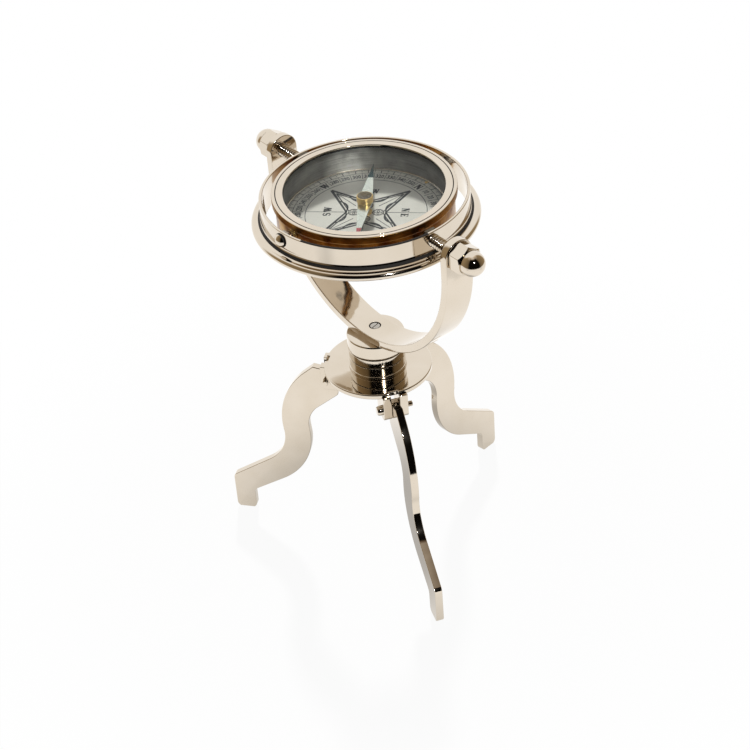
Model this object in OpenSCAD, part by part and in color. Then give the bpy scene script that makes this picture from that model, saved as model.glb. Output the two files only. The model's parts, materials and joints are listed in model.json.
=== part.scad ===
// Gimbal compass on a folding tripod: nickel-plated brass, one compass bowl hung in two rings.
// Millimetres. +Z is up, the feet stand on z = 0, and the front leg points along -Y.
// The origin is the middle of the object's footprint at floor level.

/* [Stand] */
// Height of the top of the hub disc above the floor
hub_top = 98; // [90:0.5:110]
// Radius of the hub disc
hub_r = 25.6; // [24:0.1:27]
// Thickness of the hub disc
hub_t = 2.6; // [2:0.1:3]
// Distance from the centre line to each leg's hinge bolt
hinge_r = 24.5; // [24:0.1:25]
// Depth of the hinge bolts below the top of the hub disc
hinge_drop = 9; // [8.6:0.1:9.4]
// Thickness of a leg
leg_t = 3.7; // [2.6:0.1:3.8]
// Width of the slot between the two lugs of a hinge
slot_w = 4; // [3.6:0.1:4.2]
// Thickness of one hinge lug
lug_t = 4; // [3:0.1:4.2]
// Diameter of a hinge bolt
hinge_d = 2.8; // [2.4:0.1:3.2]

/* [Pillar] */
// Radius of the pillar's fixed base
base_r = 13.2; // [12:0.1:14]
// Height of the fixed base above the hub disc
base_h = 6.3; // [6:0.1:8]
// Height of the plain collar on top of the base
collar_h = 4.7; // [3:0.1:5]
// Radius of the turning head that carries the yoke
head_r = 13.7; // [13:0.1:15]
// Diameter of the spindle that the head turns on
spindle_d = 10; // [9:0.5:11]

/* [Yoke] */
// Height of the yoke's pivot axis above the hub disc
axis_rise = 91; // [88:0.5:95]
// Half the clear width between the yoke's two ears
yoke_inner = 60; // [58:0.5:64]
// Thickness of the yoke's strap
strap_t = 3.8; // [3:0.1:4.5]
// Width of the yoke's strap
strap_w = 15.2; // [14:0.1:17]
// Straight length of each arm below the pivot axis
arm_straight = 9.4; // [6:0.1:12]
// Angle of the yoke to the front leg, seen from above
yoke_turn = 22.2; // [0:0.1:45]
// Diameter of the threaded pivot rods
rod_d = 6; // [5:0.1:6.5]

/* [Gimbal ring] */
// Outer radius of the ring's upright band
ring_r = 47.2; // [46.8:0.1:48]
// Thickness of the upright band
ring_t = 1.4; // [1:0.1:1.6]
// Height of the band's top edge above the pivot axis
ring_up = 4.6; // [4:0.1:5]
// Depth of the ring's lower edge below the pivot axis
ring_down = 9.6; // [9:0.1:11]
// Outer radius of the flange at the ring's lower edge
flange_r = 51.6; // [51:0.1:53]
// Thickness of the flange
flange_t = 3.4; // [3.2:0.1:3.6]

/* [Compass bowl] */
// Outer radius of the bezel
bezel_r = 41.5; // [41.3:0.1:41.6]
// Height of the bezel's face above the pivot axis
bezel_up = 6.6; // [6.6:0.1:7]
// Radius of the opening in the bezel
window_r = 36.3; // [36:0.1:36.6]
// Outer radius of the bowl's case
case_r = 40.2; // [40:0.1:40.3]
// Inner radius of the case above the dial
case_in = 37.2; // [37:0.1:37.3]
// Depth of the dial's face below the pivot axis
dial_drop = 7.4; // [7:0.1:7.8]
// Length of the compass needle
needle_l = 65; // [58:0.5:68]
// Greatest width of the compass needle
needle_w = 6.8; // [5:0.1:8]
// Bearing that the needle points to, seen from above and counted from the front leg
needle_turn = -23.9; // [-180:0.1:180]

/* [Hidden] */

$fn = 96;
eps = 0.01;          // overshoot of every cutting tool
run = 0.05;          // radial clearance of a running fit
seat = 0.02;         // radial clearance of a fixed seat
face = 0.15;         // gap between two faces that turn on each other
nickel = "#D9CFC2";
brass = "#B98A3E";
steel = "#8F9296";

axis_z = hub_top + axis_rise;
hinge_z = hub_top - hinge_drop;
yoke_outer = yoke_inner + strap_t;
seat_flat = 0.6;     // how much of the strap's bottom is filed flat
yoke_foot_z = axis_z - arm_straight - yoke_outer + seat_flat;
yoke_floor_z = axis_z - arm_straight - yoke_inner;
nut_af = 12.4;       // cap nut across flats
nut_hex_h = 6.6;
dome_r = 5.7;
nut_gap = 0.3;
nut_base = yoke_outer + nut_gap;
dome_y = nut_base + nut_hex_h + 1.6;
foot_reach = 79.4;
rear_reach = dome_y * cos(yoke_turn) + dome_r;
centre_shift = (foot_reach - rear_reach) / 2;
ring_in = ring_r - ring_t;
bowl_pin_r = 1.25;
lock_nut_h = 2;
small_nut_h = 2.4;
spacer_h = 1.6;
case_bottom = 13;
cover_t = 1.5;
dial_t = 0.8;
dial_seat_r = 34;
glass_t = 1.6;
bezel_lip = 0.8;
gasket_t = 0.6;
case_top = bezel_up - bezel_lip - glass_t - gasket_t;
blade_z = -1.9;
blade_t = 0.4;
cap_r = 3.75;
cap_top = 1.5;
tip_z = 0.3;
spindle_r = spindle_d / 2;
spindle_end = 4;     // radius of the spindle's threaded end

// Points on an arc about c, from angle a to angle b in n steps.
function arc(c, r, a, b, n) =
  [for (i = [0:n]) c + r * [cos(a + (b - a) * i / n), sin(a + (b - a) * i / n)]];

// Everything stands around the pillar's centre line.
module placed() { translate([0, centre_shift, 0]) children(); }

// The gimbal's own frame: origin where both axes cross, yoke axis along Y.
module gimbal() { placed() translate([0, 0, axis_z]) rotate([0, 0, yoke_turn]) children(); }

// The three leg directions: front, right, left.
leg_angles = [0, 120, -120];

// Turns a shape drawn with +X pointing out along a leg to the leg's direction.
module leg_frame(angle) { placed() rotate([0, 0, angle - 90]) children(); }

module ring_of(r_out, r_in, h) {
  difference() {
    cylinder(r = r_out, h = h);
    translate([0, 0, -eps]) cylinder(r = r_in, h = h + 2 * eps);
  }
}

// Puts children on both ends of the yoke axis, drawn along +Z from the centre.
module both_yoke_ends() { for (s = [0, 180]) rotate([0, 0, s]) rotate([90, 0, 0]) children(); }

// The same for the bowl's own axis, along X.
module both_bowl_ends() { for (s = [0, 180]) rotate([0, 0, s + 90]) rotate([90, 0, 0]) children(); }

// One lug: a plate that hangs under the disc at its rim, pierced for the bolt.
lug_in = 16.5;
lug_out = 27.3;
lug_bottom = 14.4;
lug_corner = 2.5;
module lug(side) {
  y0 = side > 0 ? slot_w / 2 : -slot_w / 2 - lug_t;
  difference() {
    translate([0, y0 + lug_t, 0]) rotate([90, 0, 0]) linear_extrude(lug_t)
      polygon(concat(
        [[lug_in, -hub_t / 2], [lug_in, -lug_bottom + lug_corner]],
        arc([lug_in + lug_corner, -lug_bottom + lug_corner], lug_corner, 180, 270, 6),
        arc([lug_out - lug_corner, -lug_bottom + lug_corner], lug_corner, 270, 360, 6),
        [[lug_out, -hub_t / 2]]
      ));
    translate([hinge_r, y0 - eps, -hinge_drop]) rotate([-90, 0, 0])
      cylinder(d = hinge_d + 2 * seat, h = lug_t + 2 * eps);
  }
}

// Hub disc with six lugs, a slot in its rim over each leg, and the spindle's bore.
slot_depth = 1.5;
base_screw_pcd = 18;
base_screw_r = 1.25;
module hub_plate() {
  color(nickel) difference() {
    union() {
      placed() translate([0, 0, hub_top - hub_t]) cylinder(r = hub_r, h = hub_t);
      for (a = leg_angles) leg_frame(a) translate([0, 0, hub_top]) for (s = [-1, 1]) lug(s);
    }
    placed() translate([0, 0, hub_top - hub_t - eps]) cylinder(r = spindle_r + run, h = hub_t + 2 * eps);
    for (a = leg_angles) leg_frame(a)
      translate([hub_r - slot_depth, -slot_w / 2, hub_top - hub_t - eps])
        cube([slot_depth + 5, slot_w, hub_t + 2 * eps]);
    for (a = leg_angles) leg_frame(a + 60) translate([base_screw_pcd / 2, 0, hub_top - hub_t - eps]) {
      cylinder(r = base_screw_r + seat, h = hub_t + 2 * eps);
      cylinder(r1 = 2.4, r2 = base_screw_r + seat, h = 1.2);
    }
  }
}

// Fixed lower part of the pillar, with a fine bead where it meets the disc.
module pillar_base() {
  color(nickel) placed() translate([0, 0, hub_top]) difference() {
    union() {
      cylinder(r = base_r, h = base_h);
      cylinder(r = base_r + 0.5, h = 1.2);
    }
    translate([0, 0, -eps]) cylinder(r = spindle_r + run, h = base_h + 1);
    translate([0, 0, base_h - 0.5]) ring_of(base_r + 1, base_r - 0.4, 1);
    for (a = leg_angles) rotate([0, 0, a - 30]) translate([base_screw_pcd / 2, 0, -eps])
      cylinder(r = base_screw_r + seat, h = 5 + eps);
  }
}

// Countersunk screws that hold the pillar's base down, put in from below the disc.
module base_screws() {
  color(steel) for (a = leg_angles) leg_frame(a + 60)
    translate([base_screw_pcd / 2, 0, hub_top - hub_t]) {
      cylinder(r1 = 2.35, r2 = base_screw_r, h = 1.15);
      cylinder(r = base_screw_r, h = hub_t + 4.6);
    }
}

module pillar_collar() {
  color(nickel) placed() translate([0, 0, hub_top + base_h]) difference() {
    cylinder(r = base_r + 0.1, h = collar_h);
    translate([0, 0, -eps]) cylinder(r = spindle_r + run, h = collar_h + 2 * eps);
    translate([0, 0, collar_h - 0.5]) ring_of(base_r + 1, base_r - 0.4, 1);
  }
}

// Turning head of the pillar, in one piece with its spindle.
head_z = base_h + collar_h + face;
yoke_screw_r = 1.5;
spindle_low = -hub_t - 1.2 - 5.5;
module pillar_head() {
  head_h = yoke_foot_z - hub_top - head_z;
  color(nickel) placed() translate([0, 0, hub_top]) difference() {
    union() {
      translate([0, 0, head_z]) cylinder(r = head_r - 0.3, h = head_h);
      translate([0, 0, head_z + 0.6]) cylinder(r = head_r, h = head_h - 1.2);
      translate([0, 0, -hub_t - 0.05]) cylinder(r = spindle_r, h = head_z + hub_t + 1);
      translate([0, 0, spindle_low]) cylinder(r = spindle_end, h = 12);
    }
    translate([0, 0, head_z + head_h - 12]) cylinder(r = yoke_screw_r + seat, h = 12 + eps);
  }
}

// Spring washer and nut that give the swivel its grip, under the disc.
module spindle_washer() {
  color(steel) placed() translate([0, 0, hub_top - hub_t - face - 1])
    ring_of(8.2, spindle_end + seat, 1);
}

module spindle_nut() {
  color(nickel) placed() translate([0, 0, hub_top - hub_t - face - 1 - 4.6]) difference() {
    cylinder(r = 13 / sqrt(3), h = 4.6, $fn = 6);
    translate([0, 0, -eps]) cylinder(r = spindle_end + seat, h = 5);
  }
}

// Hinge bolts: a domed head on one side and the bare threaded end on the other.
bolt_head_r = 2.4;
bolt_head_h = 2.7;
bolt_tail = 2.6;
module hinge_bolts() {
  side = slot_w / 2 + lug_t;
  color(nickel) for (a = leg_angles) leg_frame(a) translate([hinge_r, -side, hinge_z]) rotate([-90, 0, 0]) {
    cylinder(d = hinge_d, h = 2 * side + bolt_tail);
    translate([0, 0, -1.2]) cylinder(r = bolt_head_r, h = 1.2);
    translate([0, 0, -1.2]) intersection() {
      sphere(r = bolt_head_r);
      translate([0, 0, -bolt_head_h + 1.2]) cylinder(r = 3, h = bolt_head_h - 1.2);
    }
  }
}

// One flat leg, drawn with x out from the centre line and y up from the disc's top face.
// Its two big arcs share tangents, so that the S runs on without a kink.
knee_c = [9.2, -39.5];
knee_r = 41.3;
sweep_c = [69.9, -48];
sweep_out = 20;
sweep_in = 33.4;
throat_c = [20.9, -41.2];
eye_r = 4.1;
sole_z = -98;
function leg_outline() = concat(
  [[28.5, -5.5], [32.2, -4.8]],
  arc(knee_c, knee_r, 45.8, -8, 16),
  arc(sweep_c, sweep_out, 172, 238, 12),
  arc([76.4, -79.4], 3, 58, 0, 4),
  arc([76.4, sole_z + 2.6], 3, 0, -60, 4),
  arc([72.2, sole_z + 2.6], 3, -120, -180, 4),
  arc([66.2, -88], 3, 0, 58, 4),
  arc(sweep_c, sweep_in, 238, 172, 12),
  arc(throat_c, 16, -8, 45, 10),
  arc([23.4, -18.8], 3, 225, 180, 4),
  arc([hinge_r, -hinge_drop], eye_r, 180, 90, 8)
);

module leg(angle) {
  color(nickel) leg_frame(angle) translate([0, 0, hub_top]) difference() {
    translate([0, leg_t / 2, 0]) rotate([90, 0, 0]) linear_extrude(leg_t) intersection() {
      polygon(leg_outline());
      translate([0, sole_z]) square([foot_reach, -sole_z]);
    }
    translate([hinge_r, -leg_t / 2 - eps, -hinge_drop]) rotate([-90, 0, 0])
      cylinder(d = hinge_d + 2 * run, h = leg_t + 2 * eps);
  }
}

module leg_front() { leg(leg_angles[0]); }
module leg_right() { leg(leg_angles[1]); }
module leg_left() { leg(leg_angles[2]); }

// U-shaped strap with round ears, drawn in its own plane and cut to the ears' outline.
module yoke() {
  u_c = -arm_straight;
  color(nickel) gimbal() difference() {
    intersection() {
      rotate([90, 0, 90]) translate([0, 0, -strap_w / 2]) linear_extrude(strap_w) difference() {
        union() {
          translate([0, u_c]) circle(r = yoke_outer);
          translate([-yoke_outer, u_c]) square([2 * yoke_outer, arm_straight + strap_w / 2]);
        }
        translate([0, u_c]) circle(r = yoke_inner);
        translate([-yoke_inner, u_c]) square([2 * yoke_inner, arm_straight + strap_w]);
        translate([-yoke_outer, u_c - yoke_outer - 1]) square([2 * yoke_outer, 1 + seat_flat]);
      }
      union() {
        translate([-strap_w / 2, -yoke_outer - 1, -90]) cube([strap_w, 2 * yoke_outer + 2, 90]);
        rotate([90, 0, 0]) translate([0, 0, -yoke_outer - 1])
          cylinder(r = strap_w / 2, h = 2 * yoke_outer + 2);
      }
    }
    both_yoke_ends() translate([0, 0, yoke_inner - 1]) cylinder(d = rod_d + 2 * run, h = strap_t + 2);
    translate([0, 0, yoke_foot_z - axis_z - 1]) cylinder(r = yoke_screw_r + seat, h = strap_t + 2);
    translate([0, 0, yoke_floor_z - axis_z - 1.4])
      cylinder(r1 = yoke_screw_r + seat, r2 = 2.8 + 0.2, h = 1.6);
  }
}

// Countersunk screw through the bottom of the yoke into the pillar's head.
module yoke_screw() {
  color(steel) placed() translate([0, 0, yoke_floor_z]) {
    translate([0, 0, -1.4]) cylinder(r1 = yoke_screw_r, r2 = 2.75, h = 1.35);
    translate([0, 0, -12]) cylinder(r = yoke_screw_r, h = 11);
  }
}

// Tall thin band that flares out through a hollow curve to a round-edged flange at its foot.
lip_r = 1.8;
cove_r = 2.8;
module gimbal_ring() {
  flange_top = -ring_down + flange_t;
  color(nickel) gimbal() difference() {
    rotate_extrude() polygon(concat(
      [[ring_in, ring_up], [ring_in, -ring_down]],
      arc([flange_r - lip_r, flange_top - lip_r], lip_r, -asin((flange_t - lip_r) / lip_r), 90, 16),
      arc([ring_r + cove_r, flange_top + cove_r], cove_r, 265, 180, 12),
      [[ring_r, ring_up]]
    ));
    both_yoke_ends() translate([0, 0, ring_in - 1]) cylinder(d = rod_d + 2 * seat, h = ring_t + 2);
    both_bowl_ends() translate([0, 0, ring_in - 1]) cylinder(r = 2 + seat, h = ring_t + 2);
  }
}

// Threaded rods fixed in the ring: they turn in the yoke's ears.
rod_in = ring_in - lock_nut_h - 0.2;
module pivot_rods() {
  color(steel) gimbal() both_yoke_ends() translate([0, 0, rod_in])
    cylinder(d = rod_d, h = nut_base + nut_hex_h - rod_in);
}

module rod_lock_nuts() {
  color(steel) gimbal() both_yoke_ends() translate([0, 0, ring_in - lock_nut_h]) difference() {
    intersection() {
      cylinder(r = 9 / sqrt(3), h = lock_nut_h, $fn = 6);
      rotate([90, 0, 0]) translate([0, -ring_in + lock_nut_h, -10]) cylinder(r = ring_in - 0.01, h = 20);
    }
    translate([0, 0, -1]) cylinder(d = rod_d + 2 * seat, h = lock_nut_h + 2);
  }
}

// Domed cap nuts outside the ears, tightened until a corner points straight up.
module cap_nuts() {
  color(nickel) gimbal() both_yoke_ends() translate([0, 0, nut_base]) rotate([0, 0, 30]) difference() {
    union() {
      intersection() {
        cylinder(r = nut_af / sqrt(3), h = nut_hex_h, $fn = 6);
        translate([0, 0, -1]) cylinder(r1 = nut_af / 2 + 0.2, r2 = nut_af / 2 + 4, h = 4);
      }
      translate([0, 0, 3 - eps]) intersection() {
        cylinder(r = nut_af / sqrt(3), h = nut_hex_h - 3, $fn = 6);
        cylinder(r1 = nut_af / 2 + 3, r2 = nut_af / 2 - 0.2, h = nut_hex_h - 3 + 0.1);
      }
      cylinder(r = dome_r, h = dome_y - nut_base);
      translate([0, 0, dome_y - nut_base]) sphere(r = dome_r);
    }
    translate([0, 0, -1]) cylinder(d = rod_d + 2 * seat, h = nut_hex_h + 1.2);
  }
}

// Domed screws through the ring: their plain tips carry the bowl.
screw_head_r = 3.3;
screw_head_h = 2.4;
screw_dome_r = 3.7;
bush_in = case_in + 0.7;
pin_in = bush_in + 0.3;
module bowl_pivot_screws() {
  color(nickel) gimbal() both_bowl_ends() {
    translate([0, 0, ring_in - small_nut_h]) cylinder(r = 2, h = ring_t + small_nut_h);
    translate([0, 0, pin_in]) cylinder(r = bowl_pin_r, h = ring_in - pin_in);
    translate([0, 0, ring_r]) intersection() {
      cylinder(r = screw_head_r, h = screw_head_h);
      translate([0, 0, screw_head_h - screw_dome_r]) sphere(r = screw_dome_r);
    }
  }
}

module bowl_pivot_nuts() {
  color(steel) gimbal() both_bowl_ends() translate([0, 0, ring_in - small_nut_h]) difference() {
    intersection() {
      cylinder(r = 6 / sqrt(3), h = small_nut_h, $fn = 6);
      rotate([90, 0, 0]) translate([0, -ring_in + small_nut_h, -10]) cylinder(r = ring_in - 0.01, h = 20);
    }
    translate([0, 0, -1]) cylinder(r = 2 + seat, h = small_nut_h + 2);
  }
}

module bowl_pivot_spacers() {
  color(steel) gimbal() both_bowl_ends() translate([0, 0, ring_in - small_nut_h - spacer_h])
    ring_of(2.2, bowl_pin_r + seat, spacer_h);
}

// Bowl case: a turned cup with a shoulder for the dial, open above and below.
bush_r = 2.2;
module bowl_case() {
  color(nickel) gimbal() difference() {
    rotate_extrude() polygon([
      [case_in, case_top], [case_r, case_top], [case_r, -case_bottom + 1.2],
      [case_r - 1.2, -case_bottom], [dial_seat_r, -case_bottom],
      [dial_seat_r, -dial_drop - dial_t], [case_in, -dial_drop - dial_t]
    ]);
    both_bowl_ends() translate([0, 0, bush_in]) cylinder(r = bush_r + seat, h = 5);
    for (a = [45:90:315]) rotate([0, 0, a]) translate([36.6, 0, -case_bottom - eps])
      cylinder(r = 0.8 + seat, h = 4);
  }
}

// Flanged bushes pressed into blind holes in the case's wall.
module pivot_bushes() {
  color(brass) gimbal() both_bowl_ends() difference() {
    union() {
      translate([0, 0, bush_in]) cylinder(r = bush_r, h = case_r + 0.9 - bush_in);
      translate([0, 0, case_r + 0.1]) cylinder(r = 2.6, h = 0.8);
    }
    translate([0, 0, bush_in - 1]) cylinder(r = bowl_pin_r + run, h = 8);
  }
}

// Bezel ring with one fine groove turned in its face.
module bezel() {
  groove_r = 39.7;
  bezel_low = 2.8;
  color(nickel) gimbal() rotate_extrude() polygon([
    [case_r + seat, bezel_low], [bezel_r - 0.5, bezel_low], [bezel_r, bezel_low + 0.5],
    [bezel_r, bezel_up - 0.6], [bezel_r - 0.6, bezel_up],
    [groove_r + 0.25, bezel_up], [groove_r, bezel_up - 0.4], [groove_r - 0.25, bezel_up],
    [window_r + 0.3, bezel_up], [window_r, bezel_up - 0.3], [window_r, bezel_up - bezel_lip],
    [case_r + seat, bezel_up - bezel_lip]
  ]);
}

module glass() {
  color("lightcyan", 0.3) gimbal() translate([0, 0, case_top + gasket_t])
    cylinder(r = case_r - 0.4, h = glass_t);
}

module glass_gasket() {
  color("#303030") gimbal() translate([0, 0, case_top]) ring_of(case_r - 0.3, case_in + 0.2, gasket_t);
}

// Dial card on the case's shoulder, with a hole for the post.
post_r = 2;
module dial() {
  color("#DCDDD6") gimbal() translate([0, 0, -dial_drop - dial_t]) difference() {
    cylinder(r = case_in - 0.1, h = dial_t);
    translate([0, 0, -eps]) cylinder(r = post_r + seat, h = dial_t + 2 * eps);
    for (a = [0, 180]) rotate([0, 0, a]) translate([35.6, 0, -eps])
      cylinder(r = 0.6 + seat, h = dial_t + 2 * eps);
  }
}

// Two small rivets that pin the dial to the shoulder.
module dial_rivets() {
  color(brass) gimbal() for (a = [0, 180]) rotate([0, 0, a]) translate([35.6, 0, -dial_drop]) {
    translate([0, 0, -dial_t]) cylinder(r = 0.6, h = dial_t + 0.1);
    cylinder(r = 0.9, h = 0.3);
  }
}

// Pointed post that the needle turns on, screwed into the ballast.
module needle_post() {
  color(brass) gimbal() {
    translate([0, 0, -11]) cylinder(r = post_r, h = 11 - dial_drop);
    translate([0, 0, -dial_drop]) cylinder(r = 2.8, h = 1);
    translate([0, 0, -dial_drop]) cylinder(r = 0.6, h = dial_drop + tip_z - 1.2);
    translate([0, 0, tip_z - 1.2]) cylinder(r1 = 0.6, r2 = 0.08, h = 1.2);
  }
}

// Heavy disc that keeps the bowl upright.
ballast_top = -9;
ballast_r = 30;
ballast_hole = 3.2;
module ballast_weight() {
  color(steel) gimbal() difference() {
    translate([0, 0, -case_bottom]) cylinder(r = ballast_r, h = case_bottom + ballast_top);
    translate([0, 0, -11 - eps]) cylinder(r = post_r + seat, h = 5);
    for (a = [0, 180]) rotate([0, 0, a]) translate([15, 0, -case_bottom - eps])
      cylinder(r = 1 + seat, h = ballast_hole);
  }
}

module countersunk(r, h, head) {
  cylinder(r1 = head, r2 = r, h = head - r);
  cylinder(r = r, h = h);
}

module ballast_screw() {
  color(steel) gimbal() for (a = [0, 180]) rotate([0, 0, a])
    translate([15, 0, -case_bottom - cover_t + 0.05]) countersunk(1, 4.4, 1.9);
}

module base_cover() {
  color(nickel) gimbal() translate([0, 0, -case_bottom - cover_t]) difference() {
    cylinder(r = case_r - 1.2, h = cover_t);
    for (a = [0, 180]) rotate([0, 0, a]) translate([15, 0, 0]) cover_hole(1, 1.9);
    for (a = [45:90:315]) rotate([0, 0, a]) translate([36.6, 0, 0]) cover_hole(0.8, 1.6);
  }
}

module cover_hole(r, head) {
  translate([0, 0, -eps]) cylinder(r1 = head + 0.1, r2 = r + 0.1, h = head - r + 0.05);
  translate([0, 0, -eps]) cylinder(r = r + seat, h = cover_t + 2 * eps);
}

module cover_screws() {
  color(steel) gimbal() for (a = [45:90:315]) rotate([0, 0, a])
    translate([36.6, 0, -case_bottom - cover_t + 0.05]) countersunk(0.8, 4.6, 1.6);
}

// Everything on the needle turns with it.
module needle_frame() { gimbal() rotate([0, 0, needle_turn - yoke_turn]) children(); }

module needle_blade() {
  color("silver") needle_frame() translate([0, 0, blade_z]) linear_extrude(blade_t) difference() {
    polygon([
      [0, -needle_l / 2], [needle_w / 2, 0], [0, needle_l / 2], [-needle_w / 2, 0]
    ]);
    circle(r = 1.6 + seat);
  }
}

module needle_cap() {
  color(brass) needle_frame() difference() {
    union() {
      translate([0, 0, blade_z + blade_t]) cylinder(r = cap_r, h = cap_top - blade_z - blade_t);
      translate([0, 0, blade_z - 0.4]) cylinder(r = 1.6, h = 1);
    }
    translate([0, 0, blade_z - 1]) cylinder(r = 1.2, h = tip_z + 0.1 - blade_z + 1);
    translate([0, 0, cap_top + 3]) sphere(r = 3.6);
  }
}

module cap_jewel() {
  color("crimson") needle_frame() translate([0, 0, tip_z + 0.05 - 0.6]) difference() {
    cylinder(r = 1.18, h = 0.64);
    translate([0, 0, -eps]) cylinder(r1 = 0.75, r2 = 0.2, h = 0.6);
  }
}

hub_plate();
pillar_base();
base_screws();
pillar_collar();
hinge_bolts();
leg_front();
leg_right();
leg_left();
pillar_head();
spindle_washer();
spindle_nut();
yoke();
yoke_screw();
gimbal_ring();
pivot_rods();
rod_lock_nuts();
cap_nuts();
bowl_pivot_screws();
bowl_pivot_nuts();
bowl_pivot_spacers();
bowl_case();
pivot_bushes();
bezel();
glass();
glass_gasket();
dial();
dial_rivets();
needle_post();
ballast_weight();
ballast_screw();
base_cover();
cover_screws();
needle_blade();
needle_cap();
cap_jewel();
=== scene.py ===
# %% [markdown]
# # A gimbal compass on a folding tripod
# The compass bowl hangs in a ring, the ring hangs in a U-shaped yoke, and the yoke turns on a short pillar that stands
# on three folding legs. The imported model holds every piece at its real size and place. This script makes the pieces
# again as clean meshes with soft edges, threads, print and finishes, and each one rides on the body that it belongs to.
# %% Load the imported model
import json
from math import asin, atan2, ceil, cos, degrees, pi, radians, sin, sqrt, tan

import bmesh
import bpy
from mathutils import Matrix, Vector


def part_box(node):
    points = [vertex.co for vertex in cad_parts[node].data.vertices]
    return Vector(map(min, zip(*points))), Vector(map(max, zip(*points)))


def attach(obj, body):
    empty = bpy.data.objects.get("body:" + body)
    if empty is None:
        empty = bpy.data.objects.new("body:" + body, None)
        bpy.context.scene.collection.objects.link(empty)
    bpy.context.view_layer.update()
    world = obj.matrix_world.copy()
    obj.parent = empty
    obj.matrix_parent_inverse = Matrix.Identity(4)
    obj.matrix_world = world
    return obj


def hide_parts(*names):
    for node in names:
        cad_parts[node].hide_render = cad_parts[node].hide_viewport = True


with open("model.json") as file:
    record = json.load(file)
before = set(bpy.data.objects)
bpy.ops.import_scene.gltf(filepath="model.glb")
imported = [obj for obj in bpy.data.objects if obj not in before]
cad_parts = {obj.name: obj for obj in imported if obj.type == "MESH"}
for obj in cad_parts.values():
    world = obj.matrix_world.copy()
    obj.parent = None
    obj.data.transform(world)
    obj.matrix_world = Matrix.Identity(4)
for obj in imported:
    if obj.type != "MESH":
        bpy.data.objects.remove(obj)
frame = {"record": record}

scene = bpy.context.scene
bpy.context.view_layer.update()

# %% [markdown]
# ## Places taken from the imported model
# Nothing is fitted by eye: the pillar's centre line, the height of the two gimbal axes and the yoke's bearing are read
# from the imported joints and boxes. Every piece is drawn in millimetres in the frame of what carries it, as it would be
# on the bench, and a matrix then puts the mesh in its place in metres.
# %% Frames of the stand, the gimbal and the needle
joints = {joint["name"]: joint for joint in frame["record"]["behaviour"]["joints"]}
swing = joints["ring_swing"]
centre_x, centre_y, axis_z = [1000 * value for value in swing["pos_m"]]
hub_top = 1000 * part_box("pillar_base")[0].z
yoke_turn = atan2(swing["axis"][0], -swing["axis"][1])
needle_turn = radians(-23.9)

PILLAR = Matrix.Scale(0.001, 4) @ Matrix.Translation((centre_x, centre_y, 0))
HUB = PILLAR @ Matrix.Translation((0, 0, hub_top))
AXES = PILLAR @ Matrix.Translation((0, 0, axis_z))
GIMBAL = AXES @ Matrix.Rotation(yoke_turn, 4, "Z")
NEEDLE = AXES @ Matrix.Rotation(needle_turn, 4, "Z")
UPRIGHT = Matrix.Rotation(pi / 2, 4, "X")
LEG_ANGLES = {"front": 0, "right": 120, "left": -120}


def leg_place(angle):
    """Frame of one leg: +X points out along it, and z = 0 is the top of the disc."""
    return HUB @ Matrix.Rotation(radians(angle - 90), 4, "Z")


def gimbal_end(angle):
    """Frame whose +Z runs out from the crossing of the axes: 0 and 180 on the yoke's axis, 90 and -90 on the bowl's."""
    return GIMBAL @ Matrix.Rotation(radians(angle), 4, "Z") @ UPRIGHT


print("axes cross at", centre_x, centre_y, axis_z, "mm; yoke turned", round(degrees(yoke_turn), 1), "degrees")

# %% [markdown]
# ## The camera
# The photograph looks down on the compass from in front and a little to the left, through a longish lens. The real
# tripod stands with its legs unevenly spread, so that the object leans in the picture. Here it stands upright, and the
# camera is rolled by the same amount instead.
# %% Camera
view_azimuth, view_elevation, view_roll = radians(-14.2), radians(37.03), radians(-4.66)
view_distance = 0.9416
aim_right, aim_height = -0.0019, 0.0907

ahead = Vector((-sin(view_azimuth) * cos(view_elevation), cos(view_azimuth) * cos(view_elevation),
                -sin(view_elevation)))
across = Vector((cos(view_azimuth), sin(view_azimuth), 0))
upward = across.cross(ahead)
frame_right = across * cos(view_roll) + upward * sin(view_roll)
frame_up = upward * cos(view_roll) - across * sin(view_roll)
aim = Vector((centre_x / 1000, centre_y / 1000, aim_height)) + across * aim_right

camera = bpy.data.objects.new("camera", bpy.data.cameras.new("camera"))
scene.collection.objects.link(camera)
camera.data.sensor_width = 36
camera.data.lens = 95.1
camera.data.clip_start, camera.data.clip_end = 0.05, 10
turn = Matrix((frame_right, frame_up, -ahead)).transposed().to_4x4()
camera.matrix_world = Matrix.Translation(aim - ahead * view_distance) @ turn
scene.camera = camera
scene.view_settings.view_transform = "Standard"
print("camera at", [round(value, 3) for value in camera.location])

# %% [markdown]
# ## Nodes and colours
# Materials, the world and the Geometry Nodes trees are all built by one small function that adds a node, sets it and
# links it. Colours are written as they look on a screen and turned to the linear values that the renderer works in.
# %% Helpers for nodes


def linear(colour):
    """An sRGB hex colour as linear red, green, blue and alpha."""
    parts = [int(colour[i:i + 2], 16) / 255 for i in (1, 3, 5)]
    return [part / 12.92 if part <= 0.04045 else ((part + 0.055) / 1.055) ** 2.4 for part in parts] + [1.0]


def add_node(tree, kind, settings=None, inputs=None):
    """Adds a node. An input gets a link if it is given another node's socket, and otherwise a value."""
    node = tree.nodes.new(kind)
    for name, value in (settings or {}).items():
        setattr(node, name, value)
    for key, value in (inputs or {}).items():
        if isinstance(value, bpy.types.NodeSocket):
            tree.links.new(value, node.inputs[key])
        else:
            node.inputs[key].default_value = value
    return node


def colour_ramp(tree, value, stops):
    """Colours by a value from 0 to 1. The places are set first, in rising order, and then the colours."""
    node = add_node(tree, "ShaderNodeValToRGB", inputs={"Fac": value})
    ramp = node.color_ramp
    while len(ramp.elements) < len(stops):
        ramp.elements.new(0.5)
    for stop, at in zip(ramp.elements, stops):
        stop.position = at
    for stop, colour in zip(ramp.elements, stops.values()):
        stop.color = linear(colour)
    return node.outputs["Color"]


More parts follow.
